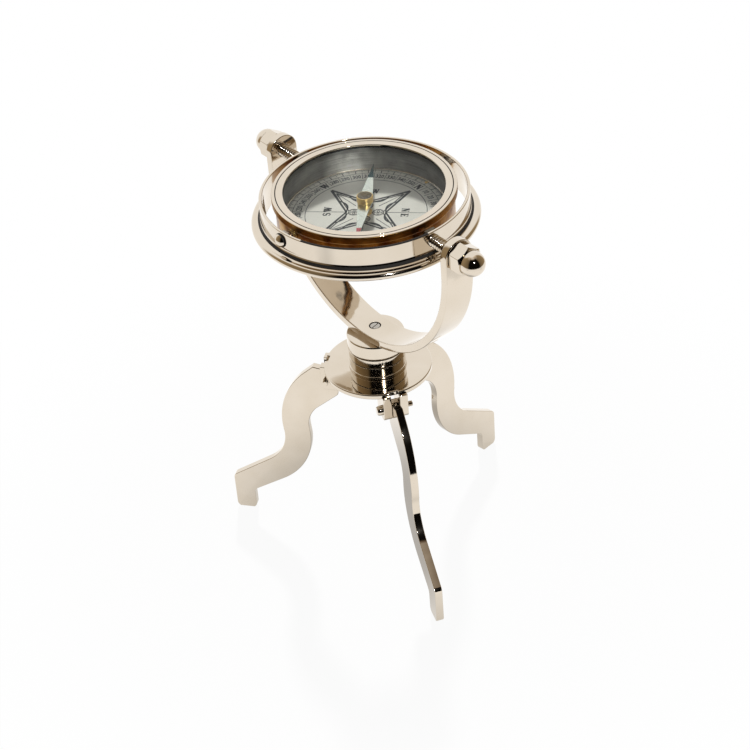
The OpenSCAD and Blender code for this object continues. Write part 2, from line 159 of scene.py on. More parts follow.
def new_material(name, surface):
    """A material whose shader is made by a function of the node tree."""
    made = bpy.data.materials.new(name)
    made.use_nodes = True
    made.node_tree.nodes.clear()
    add_node(made.node_tree, "ShaderNodeOutputMaterial", inputs={"Surface": surface(made.node_tree)})
    return made


# %% [markdown]
# ## What the metal mirrors
# Polished nickel has hardly any colour of its own: it shows the room. The reflections in the photograph give the room
# away. There is white paper below, behind and overhead, and a dark room on the camera's side, which draws the black
# bands on the legs and the pillar, with a brownish grey above it. The world paints that room by direction for mirror
# rays only. To both sides the room is a brownish grey, which the pillar and every rounded edge show, and one small
# window in the dark gives the white patches on the domes. What is looked at straight or through the glass is plain
# white, and matt surfaces get a low even light.
# %% World
dark_middle, dark_half_width, side_half_width = -3, 52, 122
room_level, even_level = 1.2, 0.3
world = bpy.data.worlds.new("studio")
scene.world = world
world.use_nodes = True
room = world.node_tree
room.nodes.clear()
heading = add_node(room, "ShaderNodeSeparateXYZ", inputs={0: add_node(room, "ShaderNodeTexCoord").outputs["Generated"]})
toward = add_node(room, "ShaderNodeMath", {"operation": "MULTIPLY"}, {0: heading.outputs["Y"], 1: -1.0})
azimuth = add_node(room, "ShaderNodeMath", {"operation": "ARCTAN2"}, {0: heading.outputs["X"], 1: toward.outputs[0]})
azimuth = add_node(room, "ShaderNodeMath", {"operation": "DEGREES"}, {0: azimuth.outputs[0]})
off_middle = add_node(room, "ShaderNodeMath", {"operation": "SUBTRACT"}, {0: azimuth.outputs[0], 1: float(dark_middle)})
off_middle = add_node(room, "ShaderNodeMath", {"operation": "ABSOLUTE"}, {0: off_middle.outputs[0]})


def fade(value, middle, half_fade):
    """1 below a middle value and 0 above it, with a soft step."""
    return add_node(room, "ShaderNodeMapRange", {"interpolation_type": "SMOOTHSTEP"}, {
        "Value": value, "From Min": middle - half_fade, "From Max": middle + half_fade,
        "To Min": 1.0, "To Max": 0.0}).outputs[0]


camera_side = fade(off_middle.outputs[0], dark_half_width, 8.0)
room_side = fade(off_middle.outputs[0], side_half_width, 8.0)
elevation = add_node(room, "ShaderNodeMath", {"operation": "ARCSINE"}, {0: heading.outputs["Z"]})
elevation = add_node(room, "ShaderNodeMath", {"operation": "DEGREES"}, {0: elevation.outputs[0]})
height = add_node(room, "ShaderNodeMapRange", inputs={
    "Value": elevation.outputs[0], "From Min": -90.0, "From Max": 90.0, "To Min": 0.0, "To Max": 1.0})


def room_wall(stops):
    """One wall of the room: colours by elevation in degrees."""
    return colour_ramp(room, height.outputs[0], {(at + 90) / 180: colour for at, colour in stops.items()})


dark_stops = {-90: "#FFFFFF", -21: "#FFFFFF", -15: "#0A0908", 61: "#0C0A09", 65: "#6A5A4A", 74: "#D8CFC2", 90: "#F0ECE6"}
side_stops = {-90: "#FFFFFF", -18: "#FFFFFF", -12: "#7E6E55", 50: "#7E6E55", 75: "#C4B8AA", 90: "#F0ECE6"}
window_azimuth, window_elevation, window_half_width, window_half_height = 4, 39, 7, 2
off_window = add_node(room, "ShaderNodeMath", {"operation": "SUBTRACT"}, {0: azimuth.outputs[0], 1: float(window_azimuth)})
off_window = add_node(room, "ShaderNodeMath", {"operation": "ABSOLUTE"}, {0: off_window.outputs[0]})
off_sill = add_node(room, "ShaderNodeMath", {"operation": "SUBTRACT"}, {0: elevation.outputs[0], 1: float(window_elevation)})
off_sill = add_node(room, "ShaderNodeMath", {"operation": "ABSOLUTE"}, {0: off_sill.outputs[0]})
window = add_node(room, "ShaderNodeMath", {"operation": "MULTIPLY"}, {
    0: fade(off_window.outputs[0], window_half_width, 2.0), 1: fade(off_sill.outputs[0], window_half_height, 0.7)})
paler = add_node(room, "ShaderNodeMapRange", inputs={
    "Value": off_middle.outputs[0], "From Min": dark_half_width + 8.0, "From Max": float(side_half_width),
    "To Min": 0.8, "To Max": 1.75})
side_wall = add_node(room, "ShaderNodeVectorMath", {"operation": "SCALE"}, {
    0: room_wall(side_stops), "Scale": paler.outputs[0]})
side_wall = add_node(room, "ShaderNodeVectorMath", {"operation": "MINIMUM"}, {0: side_wall.outputs[0], 1: (1, 1, 1)})
mirrored = add_node(room, "ShaderNodeMix", {"data_type": "RGBA"}, {
    "Factor": room_side, 6: (1, 1, 1, 1), 7: side_wall.outputs[0]})
mirrored = add_node(room, "ShaderNodeMix", {"data_type": "RGBA"}, {
    "Factor": camera_side, 6: mirrored.outputs[2], 7: room_wall(dark_stops)})
mirrored = add_node(room, "ShaderNodeMix", {"data_type": "RGBA"}, {
    "Factor": window.outputs[0], 6: mirrored.outputs[2], 7: (1, 1, 1, 1)})
mirrored = add_node(room, "ShaderNodeVectorMath", {"operation": "SCALE"}, {0: mirrored.outputs[2], "Scale": room_level})
rays = add_node(room, "ShaderNodeLightPath")
unbounced = add_node(room, "ShaderNodeMath", {"operation": "ADD"}, {
    0: rays.outputs["Glossy Depth"], 1: rays.outputs["Diffuse Depth"]})
unbounced = add_node(room, "ShaderNodeMath", {"operation": "LESS_THAN"}, {0: unbounced.outputs[0], 1: 0.5})
undiffused = add_node(room, "ShaderNodeMath", {"operation": "LESS_THAN"}, {0: rays.outputs["Diffuse Depth"], 1: 0.5})
straight = add_node(room, "ShaderNodeMath", {"operation": "MULTIPLY"}, {
    0: rays.outputs["Is Transmission Ray"], 1: unbounced.outputs[0]})
straight = add_node(room, "ShaderNodeMath", {"operation": "MAXIMUM"}, {
    0: rays.outputs["Is Camera Ray"], 1: straight.outputs[0]})
by_mirror = add_node(room, "ShaderNodeMath", {"operation": "MULTIPLY"}, {
    0: rays.outputs["Is Transmission Ray"], 1: undiffused.outputs[0]})
by_mirror = add_node(room, "ShaderNodeMath", {"operation": "MAXIMUM"}, {
    0: rays.outputs["Is Glossy Ray"], 1: by_mirror.outputs[0]})
even = add_node(room, "ShaderNodeMix", {"data_type": "RGBA"}, {
    "Factor": by_mirror.outputs[0], 6: (even_level, even_level, even_level, 1), 7: mirrored.outputs[0]})
seen = add_node(room, "ShaderNodeMix", {"data_type": "RGBA"}, {
    "Factor": straight.outputs[0], 6: even.outputs[2], 7: (1, 1, 1, 1)})
backdrop = add_node(room, "ShaderNodeBackground", inputs={"Color": seen.outputs[2], "Strength": 1.0})
add_node(room, "ShaderNodeOutputWorld", inputs={"Surface": backdrop.outputs[0]})
print("room walls change at", list(dark_stops), "and", list(side_stops), "degrees")

# %% [markdown]
# ## Sun and floor
# The shadow that the bezel throws on the dial says where the main light is: behind the object, about 34 degrees up,
# and fairly small. It lights matt surfaces only, because the mirrors and the glass have the room's own lamps in them.
# A second lamp stands in the small window and only glints on metal. It adds to the gleam on the back of the bowl's
# wall, which is also painted into the wall's colour.
# The floor is a round sheet of white paper. It glows for the camera, for mirror rays and for glass,
# so that it stays white, and only a faint shadow is left on it. Towards its edge it fades into the white around it.
# %% Key light and paper


def distant_lamp(name, azimuth, elevation, angle, energy):
    """A lamp far away in a direction, in degrees, as wide as an angle. Glass doesn't show it."""
    lamp = bpy.data.objects.new(name, bpy.data.lights.new(name, "SUN"))
    scene.collection.objects.link(lamp)
    lamp.data.energy, lamp.data.angle = energy, radians(angle)
    lamp.visible_transmission = False
    source = Matrix.Rotation(radians(azimuth), 3, "Z") @ Vector((0, -cos(radians(elevation)), sin(radians(elevation))))
    lamp.rotation_mode = "QUATERNION"
    lamp.rotation_quaternion = source.to_track_quat("Z", "Y")
    return lamp


distant_lamp("key", 164, 34, 5, 3.3).visible_glossy = False
distant_lamp("flash", window_azimuth, window_elevation, 4, 1.5).visible_diffuse = False

paper_radius = 0.3


def paper_shader(tree):
    """White paper that glows for the camera and mirrors, and fades to pure glow at its rim. For mirror rays its glow is
    dimmed under the object: a painted shadow.
    """
    place = add_node(tree, "ShaderNodeTexCoord").outputs["Object"]
    reach = add_node(tree, "ShaderNodeVectorMath", {"operation": "LENGTH"}, {0: place})
    glow = add_node(tree, "ShaderNodeMapRange", {"interpolation_type": "SMOOTHSTEP"}, {
        "Value": reach.outputs["Value"], "From Min": 0.09, "From Max": paper_radius - 0.02,
        "To Min": 0.94, "To Max": 1.0})
    rays = add_node(tree, "ShaderNodeLightPath")
    looked_at = add_node(tree, "ShaderNodeMath", {"operation": "ADD", "use_clamp": True}, {
        0: rays.outputs["Is Camera Ray"], 1: rays.outputs["Is Glossy Ray"]})
    looked_at = add_node(tree, "ShaderNodeMath", {"operation": "ADD", "use_clamp": True}, {
        0: looked_at.outputs[0], 1: rays.outputs["Is Transmission Ray"]})
    share = add_node(tree, "ShaderNodeMath", {"operation": "MULTIPLY"}, {0: glow.outputs[0], 1: looked_at.outputs[0]})
    fibre = add_node(tree, "ShaderNodeTexNoise", inputs={"Vector": place, "Scale": 900.0, "Detail": 3.0})
    tooth = add_node(tree, "ShaderNodeBump", inputs={"Height": fibre.outputs[0], "Strength": 0.2, "Distance": 0.0002})
    matt = add_node(tree, "ShaderNodeBsdfDiffuse", inputs={"Color": (0.86, 0.86, 0.86, 1), "Normal": tooth.outputs[0]})
    # Painted shadow: mirror rays see the paper darker under the object.
    painted_shadow_under_object = add_node(tree, "ShaderNodeMapRange", {"interpolation_type": "SMOOTHSTEP"}, {
        "Value": reach.outputs["Value"], "From Min": 0.03, "From Max": 0.11, "To Min": 0.58, "To Max": room_level + 0.06})
    level = add_node(tree, "ShaderNodeMix", inputs={
        "Factor": rays.outputs["Is Glossy Ray"], "A": 1.0, "B": painted_shadow_under_object.outputs[0]})
    white = add_node(tree, "ShaderNodeEmission", inputs={"Color": (1, 1, 1, 1), "Strength": level.outputs[0]})
    return add_node(tree, "ShaderNodeMixShader", inputs={
        0: share.outputs[0], 1: matt.outputs[0], 2: white.outputs[0]}).outputs[0]


paper_mesh = bpy.data.meshes.new("paper")
sheet = bmesh.new()
bmesh.ops.create_circle(sheet, cap_ends=True, segments=96, radius=paper_radius)
sheet.to_mesh(paper_mesh)
sheet.free()
paper_mesh.materials.append(new_material("white_paper", paper_shader))
paper = bpy.data.objects.new("paper", paper_mesh)
scene.collection.objects.link(paper)
print("paper of radius", paper_radius, "m")

# %% [markdown]
# ## Nickel plate
# The frame is cast and turned brass, polished by hand and plated with nickel. Nickel is a metal whose reflection is a
# little yellow. Hand polishing leaves a slow swell in the surface, which bends reflections, fine wiping lines, and a
# thin veil where the plate has dulled. All three are noise on object coordinates, at sizes given in millimetres.
# %% Nickel and the other metals


def polished_nickel(tree):
    """Bright nickel plate with swell, wiping lines and patches of veil."""
    swell_mm, wipe_mm, patch_mm = 9.0, 0.5, 14.0
    place = add_node(tree, "ShaderNodeTexCoord").outputs["Object"]
    swell = add_node(tree, "ShaderNodeTexNoise", inputs={"Vector": place, "Scale": 1000 / swell_mm, "Detail": 1.0})
    along = add_node(tree, "ShaderNodeMapping", inputs={"Vector": place, "Rotation": (0.5, 0.2, 0.4), "Scale": (1, 1, 9)})
    wipe = add_node(tree, "ShaderNodeTexNoise", inputs={
        "Vector": along.outputs[0], "Scale": 1000 / wipe_mm / 9, "Detail": 3.0})
    patch = add_node(tree, "ShaderNodeTexNoise", inputs={"Vector": place, "Scale": 1000 / patch_mm, "Detail": 4.0})
    waves = add_node(tree, "ShaderNodeBump", inputs={"Height": swell.outputs[0], "Strength": 1.0, "Distance": 0.00006})
    lines = add_node(tree, "ShaderNodeBump", inputs={
        "Height": wipe.outputs[0], "Strength": 1.0, "Distance": 0.0000012, "Normal": waves.outputs[0]})
    rough = add_node(tree, "ShaderNodeMapRange", inputs={
        "Value": patch.outputs[0], "From Min": 0.35, "From Max": 0.7, "To Min": 0.04, "To Max": 0.1})
    tone = add_node(tree, "ShaderNodeMix", {"data_type": "RGBA"}, {
        "Factor": patch.outputs[0], 6: linear("#D4CABC"), 7: linear("#C9BDAB")})
    return add_node(tree, "ShaderNodeBsdfPrincipled", inputs={
        "Base Color": tone.outputs[2], "Metallic": 1.0, "Roughness": rough.outputs[0],
        "Normal": lines.outputs[0]}).outputs[0]


def satin_turned_grey(tree):
    """The bowl's inside: turned brass, greyed, whose tool marks run round the wall, with a painted gleam at the back
    and painted light and shade round the wall and under the lip.
    """
    mark_mm = 0.35
    # Painted light and shade by bearing round the wall, with a painted gleam at the back from 0 to 10 degrees.
    painted_light_round_wall = {-180: "#7A7974", -50: "#8E8D86", -14: "#A3A29A", 0: "#FFFFFA", 10: "#FFFFFA", 22: "#A09F98", 60: "#807F79",
                  180: "#777671"}
    place = add_node(tree, "ShaderNodeTexCoord").outputs["Object"]
    layers = add_node(tree, "ShaderNodeMapping", inputs={"Vector": place, "Scale": (0.02, 0.02, 1)})
    marks = add_node(tree, "ShaderNodeTexNoise", inputs={"Vector": layers.outputs[0], "Scale": 1000 / mark_mm, "Detail": 4.0})
    stain = add_node(tree, "ShaderNodeTexNoise", inputs={"Vector": place, "Scale": 160.0, "Detail": 5.0})
    around = add_node(tree, "ShaderNodeTangent", {"direction_type": "RADIAL", "axis": "Z"})
    ridge = add_node(tree, "ShaderNodeBump", inputs={"Height": marks.outputs[0], "Strength": 0.8, "Distance": 0.00007})
    spot = add_node(tree, "ShaderNodeSeparateXYZ", inputs={0: place})
    bearing = add_node(tree, "ShaderNodeMath", {"operation": "ARCTAN2"}, {0: spot.outputs["X"], 1: spot.outputs["Y"]})
    turned_by = add_node(tree, "ShaderNodeMapRange", inputs={"Value": bearing.outputs[0], "From Min": -pi, "From Max": pi})
    grey = colour_ramp(tree, turned_by.outputs[0], {(at + 180) / 360: colour for at, colour in painted_light_round_wall.items()})
    marks_and_painted_shade = add_node(tree, "ShaderNodeMath", {"operation": "MULTIPLY"}, {0: marks.outputs[0], 1: stain.outputs[0]})
    marks_and_painted_shade = add_node(tree, "ShaderNodeMapRange", inputs={
        "Value": marks_and_painted_shade.outputs[0], "From Min": 0.12, "From Max": 0.36, "To Min": 0.5, "To Max": 1.15})
    # Painted shade: the wall gets darker towards the lip.
    painted_shade_under_lip = add_node(tree, "ShaderNodeMapRange", inputs={
        "Value": spot.outputs["Z"], "From Min": (axis_z - 1) / 1000, "From Max": (axis_z + 3.4) / 1000,
        "To Min": 1.0, "To Max": 0.4})
    marks_and_painted_shade = add_node(tree, "ShaderNodeMath", {"operation": "MULTIPLY"}, {0: marks_and_painted_shade.outputs[0], 1: painted_shade_under_lip.outputs[0]})
    tone = add_node(tree, "ShaderNodeVectorMath", {"operation": "SCALE"}, {0: grey, "Scale": marks_and_painted_shade.outputs[0]})
    return add_node(tree, "ShaderNodeBsdfPrincipled", inputs={
        "Base Color": tone.outputs[0], "Metallic": 0.5, "Roughness": 0.34, "Anisotropic": 0.85,
        "Tangent": around.outputs[0], "Normal": ridge.outputs[0]}).outputs[0]


def machined_steel(tree):
    """Screws, nuts and rods: bright steel with fine turning marks and a little dullness."""
    place = add_node(tree, "ShaderNodeTexCoord").outputs["Object"]
    grain = add_node(tree, "ShaderNodeTexNoise", inputs={"Vector": place, "Scale": 1400.0, "Detail": 4.0})
    cut = add_node(tree, "ShaderNodeBump", inputs={"Height": grain.outputs[0], "Strength": 0.5, "Distance": 0.00002})
    rough = add_node(tree, "ShaderNodeMapRange", inputs={
        "Value": grain.outputs[0], "From Min": 0.3, "From Max": 0.7, "To Min": 0.14, "To Max": 0.3})
    tone = add_node(tree, "ShaderNodeMix", {"data_type": "RGBA"}, {
        "Factor": grain.outputs[0], 6: linear("#B9B4AC"), 7: linear("#A39D94")})
    return add_node(tree, "ShaderNodeBsdfPrincipled", inputs={
        "Base Color": tone.outputs[2], "Metallic": 1.0, "Roughness": rough.outputs[0],
        "Normal": cut.outputs[0]}).outputs[0]


def polished_brass(tree):
    """The needle's cap and the bushes: yellow brass, turned and buffed."""
    place = add_node(tree, "ShaderNodeTexCoord").outputs["Object"]
    tarnish = add_node(tree, "ShaderNodeTexNoise", inputs={"Vector": place, "Scale": 420.0, "Detail": 4.0})
    buffed = add_node(tree, "ShaderNodeBump", inputs={"Height": tarnish.outputs[0], "Strength": 0.5, "Distance": 0.00004})
    tone = add_node(tree, "ShaderNodeMix", {"data_type": "RGBA"}, {
        "Factor": tarnish.outputs[0], 6: linear("#F2D68E"), 7: linear("#D6AC62")})
    return add_node(tree, "ShaderNodeBsdfPrincipled", inputs={
        "Base Color": tone.outputs[2], "Metallic": 0.5, "Roughness": 0.3, "Normal": buffed.outputs[0]}).outputs[0]


def aged_brass(bright, dull):
    """Brass between two colours in spots: where the plate has worn through or never was, gone dark in the air, and also
    used dark as painted shade and painted dark reflection.
    """
    def surface(tree):
        place = add_node(tree, "ShaderNodeTexCoord").outputs["Object"]
        spots = add_node(tree, "ShaderNodeTexNoise", inputs={"Vector": place, "Scale": 130.0, "Detail": 6.0})
        stain = add_node(tree, "ShaderNodeMapRange", inputs={
            "Value": spots.outputs[0], "From Min": 0.35, "From Max": 0.65, "To Min": 0.0, "To Max": 1.0})
        pitted = add_node(tree, "ShaderNodeBump", inputs={
            "Height": spots.outputs[0], "Strength": 0.5, "Distance": 0.00004})
        tone = add_node(tree, "ShaderNodeMix", {"data_type": "RGBA"}, {
            "Factor": stain.outputs[0], 6: linear(bright), 7: linear(dull)})
        return add_node(tree, "ShaderNodeBsdfPrincipled", inputs={
            "Base Color": tone.outputs[2], "Metallic": 1.0, "Roughness": 0.3, "Normal": pitted.outputs[0]}).outputs[0]
    return surface


nickel = new_material("polished_nickel_plate", polished_nickel)
satin = new_material("satin_brass_with_painted_gleam", satin_turned_grey)
steel = new_material("machined_steel", machined_steel)
brass = new_material("polished_brass", polished_brass)
worn_side = new_material("plate_worn_to_dark_brass", aged_brass("#CDA35C", "#7A4A20"))
# Dark brass that stands for painted shade in the ring's gap and a painted dark reflection on the cap's top.
dark_brass_painted_shade_and_reflection = new_material("brass_painted_dark_shade_and_reflection", aged_brass("#6C6250", "#463E32"))
print("metals:", [made.name for made in (nickel, satin, steel, brass, worn_side, dark_brass_painted_shade_and_reflection)])

# %% [markdown]
# ## Needle, card, glass and the rest
# The needle is thin polished steel with one end in red lacquer and the other blued by heat. The card is brass rubbed
# with silver powder, which leaves a pale satin, and its print is black ink that has bitten in. A matt black fills the
# fine grooves, and the same black is painted on edges, threads and hollows of the nickel as painted shade and painted
# dark reflection. The glass lets light through to the card, so that its shadow rays pass as if it weren't there.
# %% Materials of the bowl


def needle_polish(tree):
    """Thin polished steel with lengthwise rubbing marks."""
    place = add_node(tree, "ShaderNodeTexCoord").outputs["Object"]
    rubbed = add_node(tree, "ShaderNodeTexNoise", inputs={"Vector": place, "Scale": 700.0, "Detail": 3.0})
    marks = add_node(tree, "ShaderNodeBump", inputs={"Height": rubbed.outputs[0], "Strength": 0.5, "Distance": 0.00002})
    tone = add_node(tree, "ShaderNodeMix", {"data_type": "RGBA"}, {
        "Factor": rubbed.outputs[0], 6: linear("#CDCFC6"), 7: linear("#AFB3AA")})
    return add_node(tree, "ShaderNodeBsdfPrincipled", inputs={
        "Base Color": tone.outputs[2], "Metallic": 1.0, "Roughness": 0.22, "Normal": marks.outputs[0]}).outputs[0]


def red_lacquer(tree):
    """Brushed-on red lacquer with a soft gloss."""
    place = add_node(tree, "ShaderNodeTexCoord").outputs["Object"]
    thick = add_node(tree, "ShaderNodeTexNoise", inputs={"Vector": place, "Scale": 900.0, "Detail": 2.0})
    brush = add_node(tree, "ShaderNodeBump", inputs={"Height": thick.outputs[0], "Strength": 0.4, "Distance": 0.00004})
    tone = add_node(tree, "ShaderNodeMix", {"data_type": "RGBA"}, {
        "Factor": thick.outputs[0], 6: linear("#B4444A"), 7: linear("#93303A")})
    return add_node(tree, "ShaderNodeBsdfPrincipled", inputs={
        "Base Color": tone.outputs[2], "Roughness": 0.3, "Normal": brush.outputs[0]}).outputs[0]


def blued_steel(tree):
    """Steel heated to a dark blue-green."""
    place = add_node(tree, "ShaderNodeTexCoord").outputs["Object"]
    heat = add_node(tree, "ShaderNodeTexNoise", inputs={"Vector": place, "Scale": 300.0, "Detail": 2.0})
    tone = add_node(tree, "ShaderNodeMix", {"data_type": "RGBA"}, {
        "Factor": heat.outputs[0], 6: linear("#2C3F42"), 7: linear("#3A5052")})
    return add_node(tree, "ShaderNodeBsdfPrincipled", inputs={
        "Base Color": tone.outputs[2], "Metallic": 0.8, "Roughness": 0.3}).outputs[0]


def silvered_card(tree):
    """Brass silvered by rubbing: pale, satin, faintly mottled."""
    place = add_node(tree, "ShaderNodeTexCoord").outputs["Object"]
    mottle = add_node(tree, "ShaderNodeTexNoise", inputs={"Vector": place, "Scale": 260.0, "Detail": 6.0})
    grain = add_node(tree, "ShaderNodeTexNoise", inputs={"Vector": place, "Scale": 4000.0, "Detail": 2.0})
    rubbed = add_node(tree, "ShaderNodeBump", inputs={"Height": grain.outputs[0], "Strength": 0.35, "Distance": 0.00003})
    tone = add_node(tree, "ShaderNodeMix", {"data_type": "RGBA"}, {
        "Factor": mottle.outputs[0], 6: linear("#E4E2D8"), 7: linear("#D6D3C8")})
    return add_node(tree, "ShaderNodeBsdfPrincipled", inputs={
        "Base Color": tone.outputs[2], "Metallic": 0.1, "Roughness": 0.42, "Normal": rubbed.outputs[0]}).outputs[0]


def black_ink(tree):
    """Printing ink, almost black, a little worn."""
    place = add_node(tree, "ShaderNodeTexCoord").outputs["Object"]
    worn = add_node(tree, "ShaderNodeTexNoise", inputs={"Vector": place, "Scale": 900.0, "Detail": 3.0})
    tone = add_node(tree, "ShaderNodeMix", {"data_type": "RGBA"}, {
        "Factor": worn.outputs[0], 6: linear("#16191A"), 7: linear("#2B2F30")})
    return add_node(tree, "ShaderNodeBsdfPrincipled", inputs={
        "Base Color": tone.outputs[2], "Roughness": 0.5}).outputs[0]


def polishing_residue(tree):
    """Matt, grainy black: painted into fine grooves, and as painted shade and painted dark reflection on edges, threads
    and hollows.
    """
    place = add_node(tree, "ShaderNodeTexCoord").outputs["Object"]
    grit = add_node(tree, "ShaderNodeTexNoise", inputs={"Vector": place, "Scale": 2500.0, "Detail": 3.0})
    tone = add_node(tree, "ShaderNodeMix", {"data_type": "RGBA"}, {
        "Factor": grit.outputs[0], 6: linear("#0E0B09"), 7: linear("#2A211A")})
    return add_node(tree, "ShaderNodeBsdfPrincipled", inputs={
        "Base Color": tone.outputs[2], "Roughness": 0.7}).outputs[0]


def window_glass(tree):
    """Clear flat glass, which hardly mirrors in the photograph. Light for the card passes straight through."""
    pane = add_node(tree, "ShaderNodeBsdfPrincipled", inputs={
        "Base Color": linear("#FCFEFD"), "Roughness": 0.0, "IOR": 1.12, "Transmission Weight": 1.0})
    clear = add_node(tree, "ShaderNodeBsdfTransparent")
    rays = add_node(tree, "ShaderNodeLightPath")
    light = add_node(tree, "ShaderNodeMath", {"operation": "MAXIMUM"}, {
        0: rays.outputs["Is Shadow Ray"], 1: rays.outputs["Is Diffuse Ray"]})
    return add_node(tree, "ShaderNodeMixShader", inputs={
        0: light.outputs[0], 1: pane.outputs[0], 2: clear.outputs[0]}).outputs[0]


def black_rubber(tree):
    """The seal under the glass: matt nitrile rubber."""
    place = add_node(tree, "ShaderNodeTexCoord").outputs["Object"]
    dust = add_node(tree, "ShaderNodeTexNoise", inputs={"Vector": place, "Scale": 1200.0, "Detail": 2.0})
    tone = add_node(tree, "ShaderNodeMix", {"data_type": "RGBA"}, {
        "Factor": dust.outputs[0], 6: linear("#141414"), 7: linear("#242322")})
    return add_node(tree, "ShaderNodeBsdfPrincipled", inputs={
        "Base Color": tone.outputs[2], "Roughness": 0.6}).outputs[0]


def synthetic_ruby(tree):
    """The bearing in the needle's cap: red and glossy, with faint growth bands."""
    place = add_node(tree, "ShaderNodeTexCoord").outputs["Object"]
    bands = add_node(tree, "ShaderNodeTexNoise", inputs={"Vector": place, "Scale": 1500.0, "Detail": 1.0})
    tone = add_node(tree, "ShaderNodeMix", {"data_type": "RGBA"}, {
        "Factor": bands.outputs[0], 6: linear("#A51A33"), 7: linear("#C22440")})
    return add_node(tree, "ShaderNodeBsdfPrincipled", inputs={
        "Base Color": tone.outputs[2], "Roughness": 0.08, "IOR": 1.76}).outputs[0]


needle_steel = new_material("polished_needle_steel", needle_polish)
lacquer = new_material("red_lacquer", red_lacquer)
blued = new_material("blued_steel", blued_steel)
card = new_material("silvered_brass_card", silvered_card)
ink = new_material("black_printing_ink", black_ink)
black_fill_painted_shade = new_material("polishing_residue", polishing_residue)
glass = new_material("window_glass", window_glass)
rubber = new_material("nitrile_rubber", black_rubber)
ruby = new_material("synthetic_ruby", synthetic_ruby)
print("materials so far:", len(bpy.data.materials))

# %% [markdown]
# ## Drawing sections and outlines
# Almost every piece starts as a flat drawing. A corner of it is rounded by an arc, as a file or a tool's nose would
# leave it, and round stretches are arcs too. Sections are lists of (radius, height) for turned pieces, and outlines
# are closed loops, counter-clockwise, for pieces cut from plate.
# %% Helpers for drawing


def arc(centre, radius, start, end, steps):
    """Points on an arc, with angles in degrees."""
    angles = [radians(start + (end - start) * i / steps) for i in range(steps + 1)]
    return [(centre[0] + radius * cos(a), centre[1] + radius * sin(a)) for a in angles]


def hole(x, y, radius, steps=48):
    """A round hole's loop, clockwise."""
    return arc((x, y), radius, 0, -360, steps)[:-1]


def soften(corners):
    """A closed drawing whose corners are (x, y, radius): each is replaced by an arc of that radius."""
    drawn = []
    for i, (x, y, radius) in enumerate(corners):
        here = Vector((x, y))
        if radius == 0:
            drawn.append((x, y))
            continue
        back = (Vector(corners[i - 1][:2]) - here).normalized()
        on = (Vector(corners[(i + 1) % len(corners)][:2]) - here).normalized()
        half = back.angle(on) / 2
        middle = here + (back + on).normalized() * radius / sin(half)
        start = here + back * radius / tan(half) - middle
        end = here + on * radius / tan(half) - middle
        sweep = atan2(start.x * end.y - start.y * end.x, start.dot(end))
        steps = max(2, ceil(abs(degrees(sweep)) / 18))
        for k in range(steps + 1):
            turned_by = Matrix.Rotation(sweep * k / steps, 2)
            drawn.append(tuple(middle + turned_by @ start))
    return drawn


def inset(loop, by):
    """Moves a closed loop to its left by a distance: inwards on an outline, outwards on a hole."""
    moved = []
    for before, here, after in zip(loop[-1:] + loop[:-1], loop, loop[1:] + loop[:1]):
        arriving = (Vector(here) - Vector(before)).normalized()
        leaving = (Vector(after) - Vector(here)).normalized()
        side = Vector((-arriving.y - leaving.y, arriving.x + leaving.x)).normalized()
        moved.append(Vector(here) + side * by / max(0.5, side.dot(Vector((-arriving.y, arriving.x)))))
    return moved


print("a softened square has", len(soften([(0, 0, 1), (9, 0, 1), (9, 9, 1), (0, 9, 1)])), "points")

# %% [markdown]
# ## Turning and cutting plate
# A lathe turns a section about an axis, and Blender's version is a row of columns round that axis. A section may also
# be a function of the angle, which makes a hexagon nut whose chamfers follow the true curve. Plate is stacked from
# levels of one outline, each a little inset near the faces, so that every edge is rounded.
# %% Helpers for solids


def turned(section, steps=144, angles=None):
    """A closed section of (radius, height), or a function of the angle that gives it, turned about Z."""
    angles = angles or [2 * pi * i / steps for i in range(steps)]
    solid = bmesh.new()
    sections = [section(angle) if callable(section) else section for angle in angles]
    columns = [[solid.verts.new((r * cos(angle), r * sin(angle), z)) for r, z in drawn]
               for angle, drawn in zip(angles, sections)]
    count = len(sections[0])
    for i, angle in enumerate(angles):
        here, after = columns[i], columns[(i + 1) % len(angles)]
        for j in range(count):
            k = (j + 1) % count
            if sections[i][j][0] > 1e-6 or sections[i][k][0] > 1e-6:
                solid.faces.new((here[j], after[j], after[k], here[k]))
    bmesh.ops.remove_doubles(solid, verts=solid.verts, dist=1e-5)
    bmesh.ops.recalc_face_normals(solid, faces=solid.faces)
    return solid


def rounded_levels(thick, edge, steps=3):
    """Levels (inset, height) of a plate about z = 0 with both faces' edges rounded."""
    angles = [radians(90 * i / steps) for i in range(steps + 1)]
    lower = [(edge * (1 - sin(a)), edge * (1 - cos(a)) - thick / 2) for a in angles]
    return lower + [(by, -z) for by, z in reversed(lower)]


def plate(loops, levels):
    """A plate with holes. A loop may be a function of (inset, height) for a hole that isn't straight."""
    solid = bmesh.new()
    bottom, top = [], []
    for loop in loops:
        rings = []
        for by, z in levels:
            points = loop(by, z) if callable(loop) else inset(loop, by)
            rings.append([solid.verts.new((p[0], p[1], z)) for p in points])
        for low, up in zip(rings, rings[1:]):
            for i in range(len(low)):
                solid.faces.new((low[i - 1], low[i], up[i], up[i - 1]))
        bottom += [solid.edges.get((rings[0][i - 1], rings[0][i])) for i in range(len(rings[0]))]
        top += [solid.edges.get((rings[-1][i - 1], rings[-1][i])) for i in range(len(rings[-1]))]
    for rim in (bottom, top):
        bmesh.ops.triangle_fill(solid, use_beauty=True, edges=rim)
    bmesh.ops.recalc_face_normals(solid, faces=solid.faces)
    return solid


